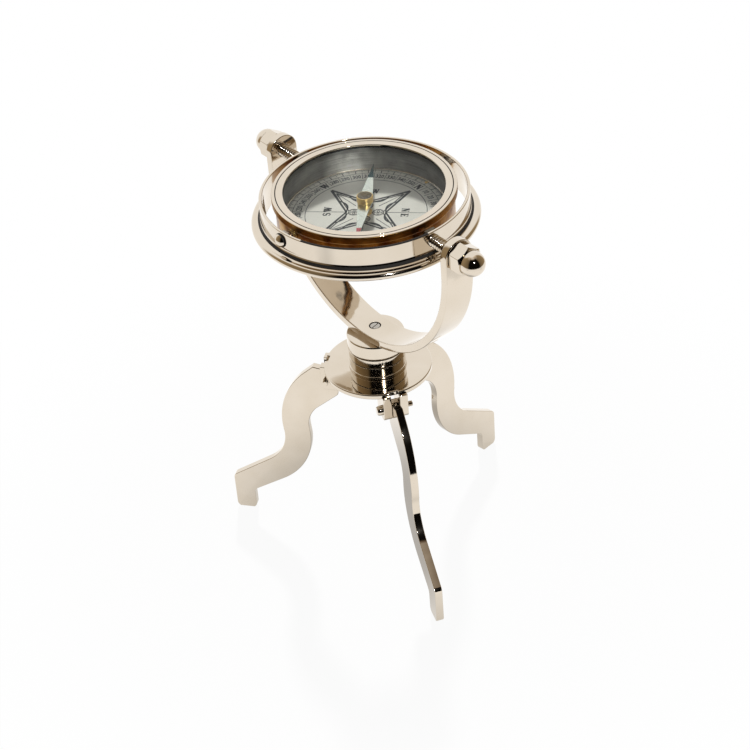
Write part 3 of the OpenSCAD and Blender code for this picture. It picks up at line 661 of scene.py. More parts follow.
def make(name, solid, place, *finishes):
    """Puts a drawn solid in its place, in metres, as an object with its finishes."""
    mesh = bpy.data.meshes.new(name)
    solid.to_mesh(mesh)
    solid.free()
    mesh.transform(place)
    for finish in finishes:
        mesh.materials.append(finish)
    made = bpy.data.objects.new(name, mesh)
    scene.collection.objects.link(made)
    return made


def settle(made):
    """Turns the modifiers' result into the object's own plain mesh."""
    graph = bpy.context.evaluated_depsgraph_get()
    baked = bpy.data.meshes.new_from_object(made.evaluated_get(graph), depsgraph=graph)
    made.modifiers.clear()
    rough_mesh, made.data = made.data, baked
    bpy.data.meshes.remove(rough_mesh)


def combine(made, tool, operation):
    """Cuts, joins or intersects with a second object, which is used up."""
    step = made.modifiers.new("combine", "BOOLEAN")
    step.operation, step.solver, step.object = operation, "EXACT", tool
    settle(made)
    used = tool.data
    bpy.data.objects.remove(tool)
    bpy.data.meshes.remove(used)


def polish(made, edge=0.0, crease=32):
    """Rounds sharp edges by some millimetres, and shades each face truly up to its rounded edge."""
    if edge:
        rounding = made.modifiers.new("edge", "BEVEL")
        rounding.width, rounding.segments = edge / 1000, 2
        rounding.limit_method, rounding.angle_limit = "ANGLE", radians(crease)
        settle(made)
    made.data.polygons.foreach_set("use_smooth", [True] * len(made.data.polygons))
    made.data.set_sharp_from_angle(angle=radians(crease))
    even_normals = made.modifiers.new("even", "WEIGHTED_NORMAL")
    even_normals.keep_sharp = True
    settle(made)


def paint(made, place, test, index):
    """Gives a finish to the faces whose centre, in the piece's own drawing, passes a test."""
    back = place.inverted()
    for face in made.data.polygons:
        if test(back @ face.center):
            face.material_index = index


def mount(made, body, slot, *nodes):
    """Rides on a body, stands for CAD nodes, and prints how far its box is from theirs. Its slot is not used."""
    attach(made, body)
    off = 0.0
    if nodes:
        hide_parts(*nodes)
        boxes = [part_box(node) for node in nodes]
        lows = [min(low[i] for low, high in boxes) for i in range(3)]
        highs = [max(high[i] for low, high in boxes) for i in range(3)]
        points = [vertex.co for vertex in made.data.vertices]
        off = max(max(abs(min(p[i] for p in points) - lows[i]), abs(max(p[i] for p in points) - highs[i]))
                  for i in range(3))
    print(f"{made.name}: {len(made.data.polygons)} faces on {body}, box off by {off * 1000:.2f} mm")
    return made


# %% [markdown]
# ## Geometry Nodes for what repeats
# Screws, rivets and bolts are drawn once, at their place beside a centre line, and a small tree copies them round it.
# A second tree bends a plain rod into a screw thread with a formula. A third lays out the strokes of a scale. Each
# result is baked to one plain mesh for its body.
# %% Geometry Nodes: tools


def new_tree(name, sizes):
    """A Geometry Nodes tree with named inputs, given as name: socket type."""
    tree = bpy.data.node_groups.new(name, "GeometryNodeTree")
    tree.interface.new_socket("Geometry", in_out="OUTPUT", socket_type="NodeSocketGeometry")
    for label, kind in sizes.items():
        tree.interface.new_socket(label, in_out="INPUT", socket_type=kind)
    return tree


def close_tree(tree, grown, entry):
    """Ends a tree in Realize Instances and Set Material."""
    real = add_node(tree, "GeometryNodeRealizeInstances", inputs={"Geometry": grown})
    finished = add_node(tree, "GeometryNodeSetMaterial", inputs={
        "Geometry": real.outputs[0], "Material": entry.outputs["Finish"]})
    add_node(tree, "NodeGroupOutput", inputs={"Geometry": finished.outputs[0]})


def grow(name, tree, sizes):
    """Runs a tree on an empty mesh with the given sizes and keeps the result as a plain mesh."""
    made = bpy.data.objects.new(name, bpy.data.meshes.new(name))
    scene.collection.objects.link(made)
    step = made.modifiers.new("grow", "NODES")
    step.node_group = tree
    sockets = {item.name: item.identifier for item in tree.interface.items_tree if item.in_out == "INPUT"}
    for label, value in sizes.items():
        step[sockets[label]] = value
    settle(made)
    return made


# %% [markdown]
# ### Copies round a centre line
# The copies are instances at one point on the centre line, each turned a step further, so the part that is copied
# carries its own distance from the line in its mesh.
# %% Geometry Nodes: copies round a centre line
copies = new_tree("copies_round_a_line", {
    "Part": "NodeSocketObject", "Count": "NodeSocketInt", "Start": "NodeSocketFloat", "Step": "NodeSocketFloat",
    "Centre": "NodeSocketVector", "Finish": "NodeSocketMaterial"})
entry = add_node(copies, "NodeGroupInput")
part = add_node(copies, "GeometryNodeObjectInfo", {"transform_space": "ORIGINAL"}, {"Object": entry.outputs["Part"]})
spots = add_node(copies, "GeometryNodePoints", inputs={"Count": entry.outputs["Count"]})
number = add_node(copies, "GeometryNodeInputIndex")
swept = add_node(copies, "ShaderNodeMath", {"operation": "MULTIPLY_ADD"}, {
    0: number.outputs[0], 1: entry.outputs["Step"], 2: entry.outputs["Start"]})
spin = add_node(copies, "ShaderNodeCombineXYZ", inputs={"Z": swept.outputs[0]})
placed = add_node(copies, "GeometryNodeInstanceOnPoints", inputs={
    "Points": spots.outputs[0], "Instance": part.outputs["Geometry"], "Rotation": spin.outputs[0]})
moved = add_node(copies, "GeometryNodeTranslateInstances", {}, {
    "Instances": placed.outputs[0], "Translation": entry.outputs["Centre"], "Local Space": False})
close_tree(copies, moved.outputs[0], entry)


def copy_round(name, sample, count, start, step, finish):
    """Copies a sample, drawn about the origin's vertical line in metres, round the pillar's centre line."""
    made = grow(name, copies, {
        "Part": sample, "Count": count, "Start": radians(start), "Step": radians(step),
        "Centre": (centre_x / 1000, centre_y / 1000, 0.0), "Finish": finish})
    used = sample.data
    bpy.data.objects.remove(sample)
    bpy.data.meshes.remove(used)
    return made


print("tree:", copies.name, "with", len(copies.nodes), "nodes")

# %% [markdown]
# ### A screw thread
# A thread is a rod whose radius rises and falls once for each pitch, with the wave shifted by one pitch for each turn
# round the rod. A triangle wave with clipped crests gives the flat-topped ridges of a rolled thread. Both ends are
# drawn in to the core, as a die leaves them.
# %% Geometry Nodes: screw thread
thread = new_tree("screw_thread", {
    "Radius": "NodeSocketFloat", "Length": "NodeSocketFloat", "Pitch": "NodeSocketFloat",
    "Rings": "NodeSocketInt", "Finish": "NodeSocketMaterial"})
entry = add_node(thread, "NodeGroupInput")
rod = add_node(thread, "GeometryNodeMeshCylinder", {"fill_type": "NGON"}, {
    "Vertices": 48, "Side Segments": entry.outputs["Rings"], "Radius": entry.outputs["Radius"],
    "Depth": entry.outputs["Length"]})
spot = add_node(thread, "GeometryNodeInputPosition")
parts = add_node(thread, "ShaderNodeSeparateXYZ", inputs={0: spot.outputs[0]})
around = add_node(thread, "ShaderNodeMath", {"operation": "ARCTAN2"}, {0: parts.outputs["Y"], 1: parts.outputs["X"]})
around = add_node(thread, "ShaderNodeMath", {"operation": "DIVIDE"}, {0: around.outputs[0], 1: 2 * pi})
along = add_node(thread, "ShaderNodeMath", {"operation": "DIVIDE"}, {0: parts.outputs["Z"], 1: entry.outputs["Pitch"]})
phase = add_node(thread, "ShaderNodeMath", {"operation": "SUBTRACT"}, {0: along.outputs[0], 1: around.outputs[0]})
wave = add_node(thread, "ShaderNodeMath", {"operation": "PINGPONG"}, {0: phase.outputs[0], 1: 0.5})
wave = add_node(thread, "ShaderNodeMapRange", inputs={
    "Value": wave.outputs[0], "From Min": 0.06, "From Max": 0.42, "To Min": 0.0, "To Max": 1.0})
cut_depth = add_node(thread, "ShaderNodeMath", {"operation": "MULTIPLY"}, {
    0: wave.outputs[0], 1: entry.outputs["Pitch"]})
cut_depth = add_node(thread, "ShaderNodeMath", {"operation": "MULTIPLY"}, {0: cut_depth.outputs[0], 1: 0.55})
from_middle = add_node(thread, "ShaderNodeMath", {"operation": "ABSOLUTE"}, {0: parts.outputs["Z"]})
half_length = add_node(thread, "ShaderNodeMath", {"operation": "MULTIPLY"}, {0: entry.outputs["Length"], 1: 0.5})
to_end = add_node(thread, "ShaderNodeMath", {"operation": "SUBTRACT"}, {
    0: half_length.outputs[0], 1: from_middle.outputs[0]})
drawn_in = add_node(thread, "ShaderNodeMath", {"operation": "MULTIPLY"}, {0: entry.outputs["Pitch"], 1: 0.55})
drawn_in = add_node(thread, "ShaderNodeMath", {"operation": "SUBTRACT"}, {0: drawn_in.outputs[0], 1: to_end.outputs[0]})
cut_depth = add_node(thread, "ShaderNodeMath", {"operation": "MAXIMUM"}, {0: cut_depth.outputs[0], 1: drawn_in.outputs[0]})
share = add_node(thread, "ShaderNodeMath", {"operation": "DIVIDE"}, {
    0: cut_depth.outputs[0], 1: entry.outputs["Radius"]})
share = add_node(thread, "ShaderNodeMath", {"operation": "SUBTRACT"}, {0: 1.0, 1: share.outputs[0]})
squeeze = add_node(thread, "ShaderNodeCombineXYZ", inputs={"X": share.outputs[0], "Y": share.outputs[0], "Z": 1.0})
shaped = add_node(thread, "ShaderNodeVectorMath", {"operation": "MULTIPLY"}, {0: spot.outputs[0], 1: squeeze.outputs[0]})
cut = add_node(thread, "GeometryNodeSetPosition", inputs={
    "Geometry": rod.outputs["Mesh"], "Position": shaped.outputs[0]})
close_tree(thread, cut.outputs[0], entry)


def threaded_rod(name, radius, low, high, pitch, place, finish):
    """A threaded rod from low to high along its own Z, in millimetres, put in its place."""
    made = grow(name, thread, {
        "Radius": float(radius), "Length": float(high - low), "Pitch": float(pitch),
        "Rings": ceil((high - low) / pitch * 10), "Finish": finish})
    made.data.transform(place @ Matrix.Translation((0, 0, (low + high) / 2)))
    return made


def merge(name, parts):
    """Joins objects into the first one, and names it."""
    joined = bmesh.new()
    for part in parts:
        joined.from_mesh(part.data)
    finishes = list(parts[0].data.materials)
    for part in parts:
        used = part.data
        bpy.data.objects.remove(part)
        bpy.data.meshes.remove(used)
    return make(name, joined, Matrix.Identity(4), *finishes)


print("tree:", thread.name, "with", len(thread.nodes), "nodes")

# %% [markdown]
# ### Strokes of a scale
# A scale is many short strokes round a circle. The stroke is a thin bar, and the bars are placed by their number.
# %% Geometry Nodes: strokes of a scale
scale = new_tree("scale_strokes", {
    "Count": "NodeSocketInt", "Inner": "NodeSocketFloat", "Outer": "NodeSocketFloat",
    "Width": "NodeSocketFloat", "Thickness": "NodeSocketFloat", "Finish": "NodeSocketMaterial"})
entry = add_node(scale, "NodeGroupInput")
length = add_node(scale, "ShaderNodeMath", {"operation": "SUBTRACT"}, {0: entry.outputs["Outer"], 1: entry.outputs["Inner"]})
middle = add_node(scale, "ShaderNodeMath", {"operation": "MULTIPLY_ADD"}, {
    0: length.outputs[0], 1: 0.5, 2: entry.outputs["Inner"]})
bar_size = add_node(scale, "ShaderNodeCombineXYZ", inputs={
    "X": length.outputs[0], "Y": entry.outputs["Width"], "Z": entry.outputs["Thickness"]})
bar = add_node(scale, "GeometryNodeMeshCube", inputs={"Size": bar_size.outputs[0]})
bar_spot = add_node(scale, "ShaderNodeCombineXYZ", inputs={"X": middle.outputs[0]})
bar = add_node(scale, "GeometryNodeTransform", inputs={"Geometry": bar.outputs["Mesh"], "Translation": bar_spot.outputs[0]})
spots = add_node(scale, "GeometryNodePoints", inputs={"Count": entry.outputs["Count"]})
number = add_node(scale, "GeometryNodeInputIndex")
step_angle = add_node(scale, "ShaderNodeMath", {"operation": "DIVIDE"}, {0: 2 * pi, 1: entry.outputs["Count"]})
swept = add_node(scale, "ShaderNodeMath", {"operation": "MULTIPLY"}, {0: number.outputs[0], 1: step_angle.outputs[0]})
spin = add_node(scale, "ShaderNodeCombineXYZ", inputs={"Z": swept.outputs[0]})
placed = add_node(scale, "GeometryNodeInstanceOnPoints", inputs={
    "Points": spots.outputs[0], "Instance": bar.outputs[0], "Rotation": spin.outputs[0]})
close_tree(scale, placed.outputs[0], entry)
print("tree:", scale.name, "with", len(scale.nodes), "nodes")

# %% [markdown]
# ## Nuts
# A hexagon nut is turned from hexagon bar, so its chamfer is a cone, and the edge between cone and flat is a curve.
# Drawn as a section that depends on the angle, the curve comes out exactly. The bar's corners are slightly rounded.
# %% Hexagon nuts


def hexagon(across, corner=0.25, facet=6):
    """Angles of a hexagon bar's columns, and its radius at each, with rounded corners."""
    reach = (across / 2 - corner) / cos(pi / 6)
    tangent = atan2(corner / 2, reach + corner * cos(pi / 6))
    radius_at = {}
    for k in range(6):
        for share in (-1, -0.5, 0, 0.5, 1):
            turn = tangent * share
            radius_at[k * pi / 3 + turn] = reach * cos(turn) + sqrt(corner ** 2 - (reach * sin(turn)) ** 2)
        for i in range(1, facet):
            turn = tangent + (pi / 3 - 2 * tangent) * i / facet
            radius_at[k * pi / 3 + turn] = across / 2 / cos(turn - pi / 6)
    return radius_at


def nut(across, height, bore, slope=0.6):
    """A plain nut standing on z = 0, chamfered on both faces."""
    radius_at = hexagon(across)
    land = across / 2 - 0.1

    def section(angle):
        radius = radius_at[angle]
        fall = (radius - land) * slope
        return [(bore, 0), (land, 0), (radius, fall), (radius, height - fall), (land, height), (bore, height)]

    return turned(section, angles=sorted(radius_at))


def follow_ring(solid, radius):
    """Files a nut's outer face to the inside of a ring of that radius."""
    for vertex in solid.verts:
        vertex.co.z = min(vertex.co.z, sqrt(radius ** 2 - vertex.co.x ** 2))
    return solid


print("columns of a nut:", len(hexagon(10)))

# %% [markdown]
# ## The hub
# The hub is a round plate with three pairs of lugs brazed under its rim. Between the lugs of a pair the plate is
# slotted, so that the leg can swing. The plate and the lugs are cut from outlines with rounded edges and then joined
# by a boolean, as braze would join them, and a fine edge is left all round.
# %% Hub plate and lugs
hub_r, hub_t = 25.6, 2.6
slot_w, slot_depth = 4.0, 1.5
lug_t, lug_in, lug_out, lug_bottom, lug_corner = 4.0, 16.5, 27.3, 14.4, 2.5
hinge_r, hinge_drop, hinge_d = 24.5, 9.0, 2.8
base_screw_ring, base_screw_r = 9.0, 1.25

hub_outline = []
slot_half_angle = degrees(atan2(slot_w / 2, hub_r))
for angle in (-90, 30, 150):
    frame_turn = Matrix.Rotation(radians(angle), 2)
    for across_slot in (-slot_w / 2, slot_w / 2):
        corners = [(sqrt(hub_r ** 2 - (slot_w / 2) ** 2), across_slot), (hub_r - slot_depth, across_slot)]
        for corner in corners if across_slot < 0 else corners[::-1]:
            hub_outline.append(tuple(frame_turn @ Vector(corner)))
    hub_outline += arc((0, 0), hub_r, angle + slot_half_angle, angle + 120 - slot_half_angle, 60)[1:-1]
hub_holes = [hole(0, 0, 5.05)]
for angle in (-30, 90, 210):
    hub_holes.append(hole(base_screw_ring * cos(radians(angle)), base_screw_ring * sin(radians(angle)), 1.3, 24))
hub_plate = make("hub_disc", plate([hub_outline] + hub_holes, rounded_levels(hub_t, 0.6)),
                 HUB @ Matrix.Translation((0, 0, -hub_t / 2)), nickel)

lug_outline = soften([(lug_in, -lug_bottom, lug_corner), (lug_out, -lug_bottom, lug_corner),
                      (lug_out, -hub_t / 2, 0.3), (lug_in, -hub_t / 2, 0)])
for angle in LEG_ANGLES.values():
    for side in (-1, 1):
        middle = side * (slot_w + lug_t) / 2
        lug = make("lug", plate([lug_outline, hole(hinge_r, -hinge_drop, hinge_d / 2 + 0.02)],
                                rounded_levels(lug_t, 0.25)),
                   leg_place(angle) @ Matrix.Translation((0, middle, 0)) @ UPRIGHT, nickel)
        combine(hub_plate, lug, "UNION")
polish(hub_plate)
mount(hub_plate, "stand", "nickel", "hub_plate")

# %% [markdown]
# ## The pillar
# Base, collar and head are turned pieces with fine grooves between them, painted black. The head and its spindle are
# one piece, which turns in the base.
# %% Pillar base, collar and head
base_r, base_h, collar_h, head_r, face_gap = 13.2, 6.3, 4.7, 13.7, 0.15
spindle_r, spindle_end = 5.0, 4.0
head_low = base_h + collar_h + face_gap
head_high = 1000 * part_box("pillar_head")[1].z - hub_top
bore = spindle_r + 0.05
groove_r = base_r - 0.4

base_section = soften([
    (bore, 0, 0), (base_r + 0.5, 0, 0.1), (base_r + 0.5, 1.2, 0.3), (base_r, 1.2, 0.1), (base_r, base_h - 0.5, 0.2),
    (groove_r, base_h - 0.5, 0), (groove_r, base_h, 0), (bore, base_h, 0)])
pillar_base = make("pillar_foot", turned(base_section), HUB, nickel, black_fill_painted_shade)
polish(pillar_base)
paint(pillar_base, HUB, lambda p: p.z > base_h - 0.5 and p.xy.length < base_r - 0.1, 1)
mount(pillar_base, "stand", "nickel", "pillar_base")

collar_section = soften([
    (bore, 0, 0), (base_r + 0.1, 0, 0.25), (base_r + 0.1, collar_h - 0.5, 0.25), (groove_r, collar_h - 0.5, 0),
    (groove_r, collar_h, 0), (bore, collar_h, 0)])
COLLAR = HUB @ Matrix.Translation((0, 0, base_h))
pillar_collar = make("pillar_band", turned(collar_section), COLLAR, nickel, black_fill_painted_shade)
polish(pillar_collar)
paint(pillar_collar, COLLAR, lambda p: p.z > collar_h - 0.5 and p.xy.length < base_r - 0.1, 1)
mount(pillar_collar, "stand", "nickel", "pillar_collar")

spindle_low = 1000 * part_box("pillar_head")[0].z - hub_top
head_section = soften([
    (0, spindle_low, 0), (spindle_end, spindle_low, 0.4), (spindle_end, -hub_t - 0.05, 0), (spindle_r, -hub_t - 0.05, 0.2),
    (spindle_r, head_low, 0), (head_r - 0.3, head_low, 0.1), (head_r, head_low + 0.6, 0.3), (head_r, head_high - 0.6, 0.3),
    (head_r - 0.3, head_high, 0.2), (1.52, head_high, 0), (1.52, head_high - 12, 0), (0, head_high - 12, 0)])
pillar_head = make("pillar_top", turned(head_section), HUB, nickel)
polish(pillar_head)
mount(pillar_head, "swivel", "nickel", "pillar_head")

# %% [markdown]
# ## Under the hub
# A spring washer and a nut on the spindle's end give the swivel its grip, and three countersunk screws hold the
# pillar's base from below. A slot for the screwdriver is cut across each screw's head.
# %% Washer, nut and screws of the pillar
washer_top = -hub_t - face_gap
washer = make("swivel_washer", turned(soften([
    (spindle_end + 0.02, -1, 0), (8.2, -1, 0.25), (8.2, 0, 0.25), (spindle_end + 0.02, 0, 0)])),
    HUB @ Matrix.Translation((0, 0, washer_top)), steel)
polish(washer)
mount(washer, "swivel", "steel", "spindle_washer")

swivel_nut = make("swivel_nut", nut(13, 4.6, spindle_end + 0.02),
                  HUB @ Matrix.Translation((0, 0, washer_top - 5.6)), nickel)
polish(swivel_nut)
mount(swivel_nut, "swivel", "nickel", "spindle_nut")


def countersunk_screw(head, shank, length, place):
    """A slotted screw whose flat head faces down, on z = 0."""
    section = soften([(0, 0, 0), (head, 0, 0.1), (shank, head - shank, 0), (shank, length, 0.2), (0, length, 0)])
    made = make("screw", turned(section, 48), place, steel)
    bar = soften([(-head - 1, -head * 0.14, 0), (head + 1, -head * 0.14, 0), (head + 1, head * 0.14, 0),
                  (-head - 1, head * 0.14, 0)])
    slot = make("slot", plate([bar], [(0, -0.5), (0, head * 0.3)]), place, steel)
    combine(made, slot, "DIFFERENCE")
    return made


sample = countersunk_screw(2.35, base_screw_r, hub_t + 4.6, Matrix.Scale(0.001, 4) @ Matrix.Translation(
    (base_screw_ring, 0, hub_top - hub_t)))
base_screws = copy_round("base_screws_slotted", sample, 3, -30, 120, steel)
polish(base_screws)
mount(base_screws, "stand", "steel", "base_screws")

# %% [markdown]
# ## Hinge bolts
# Each leg turns on a bolt with a domed head on one side. On the other side its threaded end shows, riveted over. The
# head and shank are turned, the threaded end comes from the thread tree, and the copying tree sets the three bolts.
# %% Hinge bolts
hinge_z = hub_top - hinge_drop
lug_side = slot_w / 2 + lug_t
head_radius, head_height, bolt_tail = 2.4, 2.7, 2.6
dome = [(x, -z - 1.2) for x, z in arc((0, 0), head_radius, 0, 90, 10) if z < head_height - 1.2]
dome_edge = sqrt(head_radius ** 2 - (head_height - 1.2) ** 2)
bolt_section = [(0, -head_height), (dome_edge, -head_height)] + dome[::-1] + [
    (head_radius, 0), (hinge_d / 2, 0), (hinge_d / 2, 2 * lug_side + 0.2), (0, 2 * lug_side + 0.2)]
BOLT = Matrix.Scale(0.001, 4) @ Matrix.Translation((hinge_r, -lug_side, hinge_z)) @ Matrix.Rotation(-pi / 2, 4, "X")
bolt_body = make("bolt", turned(bolt_section, 48), BOLT, nickel)
bolt_end = threaded_rod("bolt_end", hinge_d / 2, 2 * lug_side - 0.5, 2 * lug_side + bolt_tail, 0.5, BOLT, nickel)
sample = merge("bolt", [bolt_body, bolt_end])
hinge_bolts = copy_round("leg_bolts", sample, 3, -90, 120, nickel)
polish(hinge_bolts)
mount(hinge_bolts, "stand", "nickel", "hinge_bolts")

# %% [markdown]
# ## Legs
# A leg is a flat S sawn from brass plate and filed smooth. Its outline is a chain of arcs that share tangents: a round
# eye on the bolt, a knee, a long sweep and a small foot. All three legs are one drawing.
# %% Legs
leg_t, sole_z = 3.7, -98.0
leg_outline = [(28.5, -5.5), (32.2, -4.8)]
leg_outline += arc((9.2, -39.5), 41.3, 45.8, -8, 32)
leg_outline += arc((69.9, -48), 20, 172, 238, 24)
leg_outline += arc((76.4, -79.4), 3, 58, 0, 6)
leg_outline += arc((76.4, sole_z + 2.6), 3, 0, -60, 6)
leg_outline += arc((72.2, sole_z + 2.6), 3, -120, -180, 6)
leg_outline += arc((66.2, -88), 3, 0, 58, 6)
leg_outline += arc((69.9, -48), 33.4, 238, 172, 28)
leg_outline += arc((20.9, -41.2), 16, -8, 45, 16)
leg_outline += arc((23.4, -18.8), 3, 225, 180, 6)
leg_outline += arc((hinge_r, -hinge_drop), 4.1, 180, 90, 12)
for name, angle in LEG_ANGLES.items():
    leg = make(f"{name}_leg_plate", plate([leg_outline[::-1], hole(hinge_r, -hinge_drop, hinge_d / 2 + 0.05)],
                                          rounded_levels(leg_t, 0.35)),
               leg_place(angle) @ UPRIGHT, nickel)
    polish(leg)
    mount(leg, f"{name}_leg", "nickel", f"leg_{name}")

# %% [markdown]
# ## The yoke
# The yoke is a brass strap with round ends, drilled flat and then bent to a U, so it is made the same way here. The
# flat strap is cut from its outline, scored across wherever it will bend, and each point is then carried round the
# bend. The strap's outside is filed flat where it sits on the pillar.
# %% Yoke
strap_t, strap_w, yoke_inner, arm_straight = 3.8, 15.2, 60.0, 9.4
rod_d, seat_flat = 6.0, 0.6
bend_r = yoke_inner + strap_t / 2
bend_half = bend_r * pi / 2
pivot_s = bend_half + arm_straight
foot_sag = arm_straight + yoke_inner + strap_t - seat_flat


def screw_hole(by, z):
    """The hole at the bottom: straight below, and countersunk at the inner face."""
    depth = z + strap_t / 2
    return hole(0, 0, max(1.52, 2.95 - depth * 0.9) + (by if depth > strap_t / 2 else 0), 48)


strap_outline = arc((0, pivot_s), strap_w / 2, 0, 180, 40) + arc((0, -pivot_s), strap_w / 2, 180, 360, 40)
strap_levels = rounded_levels(strap_t, 0.45)
strap_levels.insert(4, (0, 1.6 - strap_t / 2))
strap = plate([strap_outline, hole(0, pivot_s, rod_d / 2 + 0.05), hole(0, -pivot_s, rod_d / 2 + 0.05), screw_hole],
              strap_levels)
scores = 96
for i in range(1, scores):
    at = bend_half * (2 * i / scores - 1)
    bmesh.ops.bisect_plane(strap, geom=strap.verts[:] + strap.edges[:] + strap.faces[:], dist=1e-5,
                           plane_co=(0, at, 0), plane_no=(0, 1, 0))
for vertex in strap.verts:
    x, s, off = vertex.co
    bent = max(-pi / 2, min(pi / 2, s / bend_r))
    beyond = abs(s) - bend_half
    y = (bend_r + off) * sin(bent)
    z = -arm_straight - (bend_r + off) * cos(bent)
    if beyond > 0:
        y = (bend_r + off) * (1 if s > 0 else -1)
        z = beyond - arm_straight
    vertex.co = (x, y, max(z, -foot_sag))
bmesh.ops.recalc_face_normals(strap, faces=strap.faces)
yoke = make("yoke_strap", strap, GIMBAL, nickel, black_fill_painted_shade)
polish(yoke, crease=40)
sunk = yoke_inner + arm_straight
# The countersink round the fixing screw is painted black.
paint(yoke, AXES, lambda p: p.xy.length < 2.9 and -sunk - 1.2 < p.z < -sunk - 0.02, 1)
mount(yoke, "swivel", "nickel", "yoke")

floor_z = -arm_straight - yoke_inner
YOKE_FLOOR = AXES @ Matrix.Translation((0, 0, floor_z))
screw_section = soften([(0, -0.15, 0), (2.38, -0.15, 0.12), (2.3, -0.5, 0), (1.5, -1.4, 0), (1.5, -12, 0.2), (0, -12, 0)])
yoke_screw = make("yoke_fixing_screw", turned(screw_section, 64), YOKE_FLOOR, steel)
driver = soften([(-4, -0.22, 0), (4, -0.22, 0), (4, 0.22, 0), (-4, 0.22, 0)])
combine(yoke_screw, make("slot", plate([driver], [(0, -0.75), (0, 0.5)]),
                         YOKE_FLOOR @ Matrix.Rotation(radians(35), 4, "Z"), steel), "DIFFERENCE")
polish(yoke_screw)
mount(yoke_screw, "swivel", "steel", "yoke_screw")

# %% [markdown]
# ## The gimbal ring
# The ring is a thin band that flares out through a hollow curve to a round-edged flange. It is one turned section,
# drilled through for the two rods and the two pivot screws. Its top edge, along the quarter between the front screw and
# the front rod, and the hollow curve are painted black, as painted shade and painted dark reflection.
# %% Gimbal ring
ring_r, ring_t, ring_up, ring_down = 47.2, 1.4, 4.6, 9.6
flange_r, flange_top, lip_r, cove_r = 51.6, -6.2, 1.8, 2.8
ring_in = ring_r - ring_t
lip_low = -degrees(asin((flange_top + ring_down - lip_r) / lip_r))
ring_section = soften(
    [(ring_in, -ring_down, 0.3)]
    + [(r, z, 0) for r, z in arc((flange_r - lip_r, flange_top - lip_r), lip_r, lip_low, 90, 24)
       + arc((ring_r + cove_r, flange_top + cove_r), cove_r, 265, 180, 24)]
    + [(ring_r, ring_up, 0.45), (ring_in, ring_up, 0.45)])
gimbal_ring = make("gimbal_band", turned(ring_section, 240), GIMBAL, nickel, black_fill_painted_shade)
for angle, radius in ((0, rod_d / 2), (180, rod_d / 2), (90, 2.0), (-90, 2.0)):
    drill = make("drill", turned([(0, ring_in - 2), (radius + 0.02, ring_in - 2), (radius + 0.02, ring_r + 2),
                                  (0, ring_r + 2)], 48), gimbal_end(angle), nickel)
    combine(gimbal_ring, drill, "DIFFERENCE")
polish(gimbal_ring)
# The top edge on the front quarter is painted black: painted shade of the gap and painted dark reflection.
paint(gimbal_ring, GIMBAL, lambda p: p.z > ring_up - 0.3 and p.y < -12 and p.x < -3, 1)
# The hollow curve is painted black: a painted dark reflection of the dark room.
paint(gimbal_ring, GIMBAL, lambda p: ring_r + 0.25 < p.xy.length < ring_r + 1.3 and flange_top + 0.4 < p.z < flange_top + 1.6,
      1)
mount(gimbal_ring, "ring", "nickel", "gimbal_ring")

# %% [markdown]
# ## Rods and nuts of the yoke axis
# A threaded rod is fixed in the ring by a thin nut on the inside, passes through the yoke's ear and ends in a domed
# cap nut. The cap nut is hexagon bar, chamfered at both ends, with a fine groove below its dome.
# %% Pivot rods, lock nuts and cap nuts
lock_nut_h = 2.0
nut_base, nut_across, nut_high, dome_r, dome_centre = 64.1, 12.4, 6.6, 5.7, 72.3
rod_low, rod_high = ring_in - lock_nut_h - 0.2, nut_base + nut_high
rods = [threaded_rod("rod", rod_d / 2, rod_low, rod_high, 1.5, gimbal_end(angle), nickel) for angle in (0, 180)]
pivot_rods = merge("threaded_rods", rods)
pivot_rods.data.materials.append(black_fill_painted_shade)
polish(pivot_rods, crease=60)
# The thread's valleys are painted black, as painted shade.
paint(pivot_rods, GIMBAL, lambda p: sqrt(p.x ** 2 + p.z ** 2) < rod_d / 2 - 0.25, 1)
mount(pivot_rods, "ring", "steel", "pivot_rods")


def set_nuts(name, across, height, nut_bore, angles, finish):
    """Thin nuts inside the ring, with their outer face filed to the ring's curve."""
    made = []
    for angle in angles:
        solid = nut(across, height, nut_bore)
        bmesh.ops.translate(solid, verts=solid.verts, vec=(0, 0, ring_in - height))
        made.append(make("nut", follow_ring(solid, ring_in - 0.01), gimbal_end(angle), finish))
    return merge(name, made)


# The thin nuts inside the ring are painted dark brass, as painted shade in the gap.
rod_nuts = set_nuts("thin_rod_nuts", 9, lock_nut_h, rod_d / 2 + 0.02, (0, 180), dark_brass_painted_shade_and_reflection)
polish(rod_nuts)
mount(rod_nuts, "ring", "steel", "rod_lock_nuts")

nut_radius_at = hexagon(nut_across, 0.3)


def cap_nut_section(angle):
    """Bore, lower chamfer, flats, upper chamfer, groove and dome."""
    radius = nut_radius_at[angle]
    low = (radius - 6.05) * 0.55
    top = nut_high - (radius - 6.05) * 0.75
    rise = dome_centre - nut_base
    return ([(0, nut_high - 0.1), (rod_d / 2 + 0.02, nut_high - 0.1), (rod_d / 2 + 0.02, 0), (6.05, 0), (radius, low),
             (radius, top), (6.05, nut_high), (5.45, nut_high), (5.45, nut_high + 0.35), (dome_r, nut_high + 0.6)]
            + arc((0, rise), dome_r, 0, 90, 16))


cap_nuts = merge("domed_cap_nuts", [
    make("cap_nut", turned(cap_nut_section, angles=sorted(nut_radius_at)),
         gimbal_end(angle) @ Matrix.Translation((0, 0, nut_base)) @ Matrix.Rotation(pi / 6, 4, "Z"), nickel)
    for angle in (0, 180)])
polish(cap_nuts)
mount(cap_nuts, "ring", "nickel", "cap_nuts")

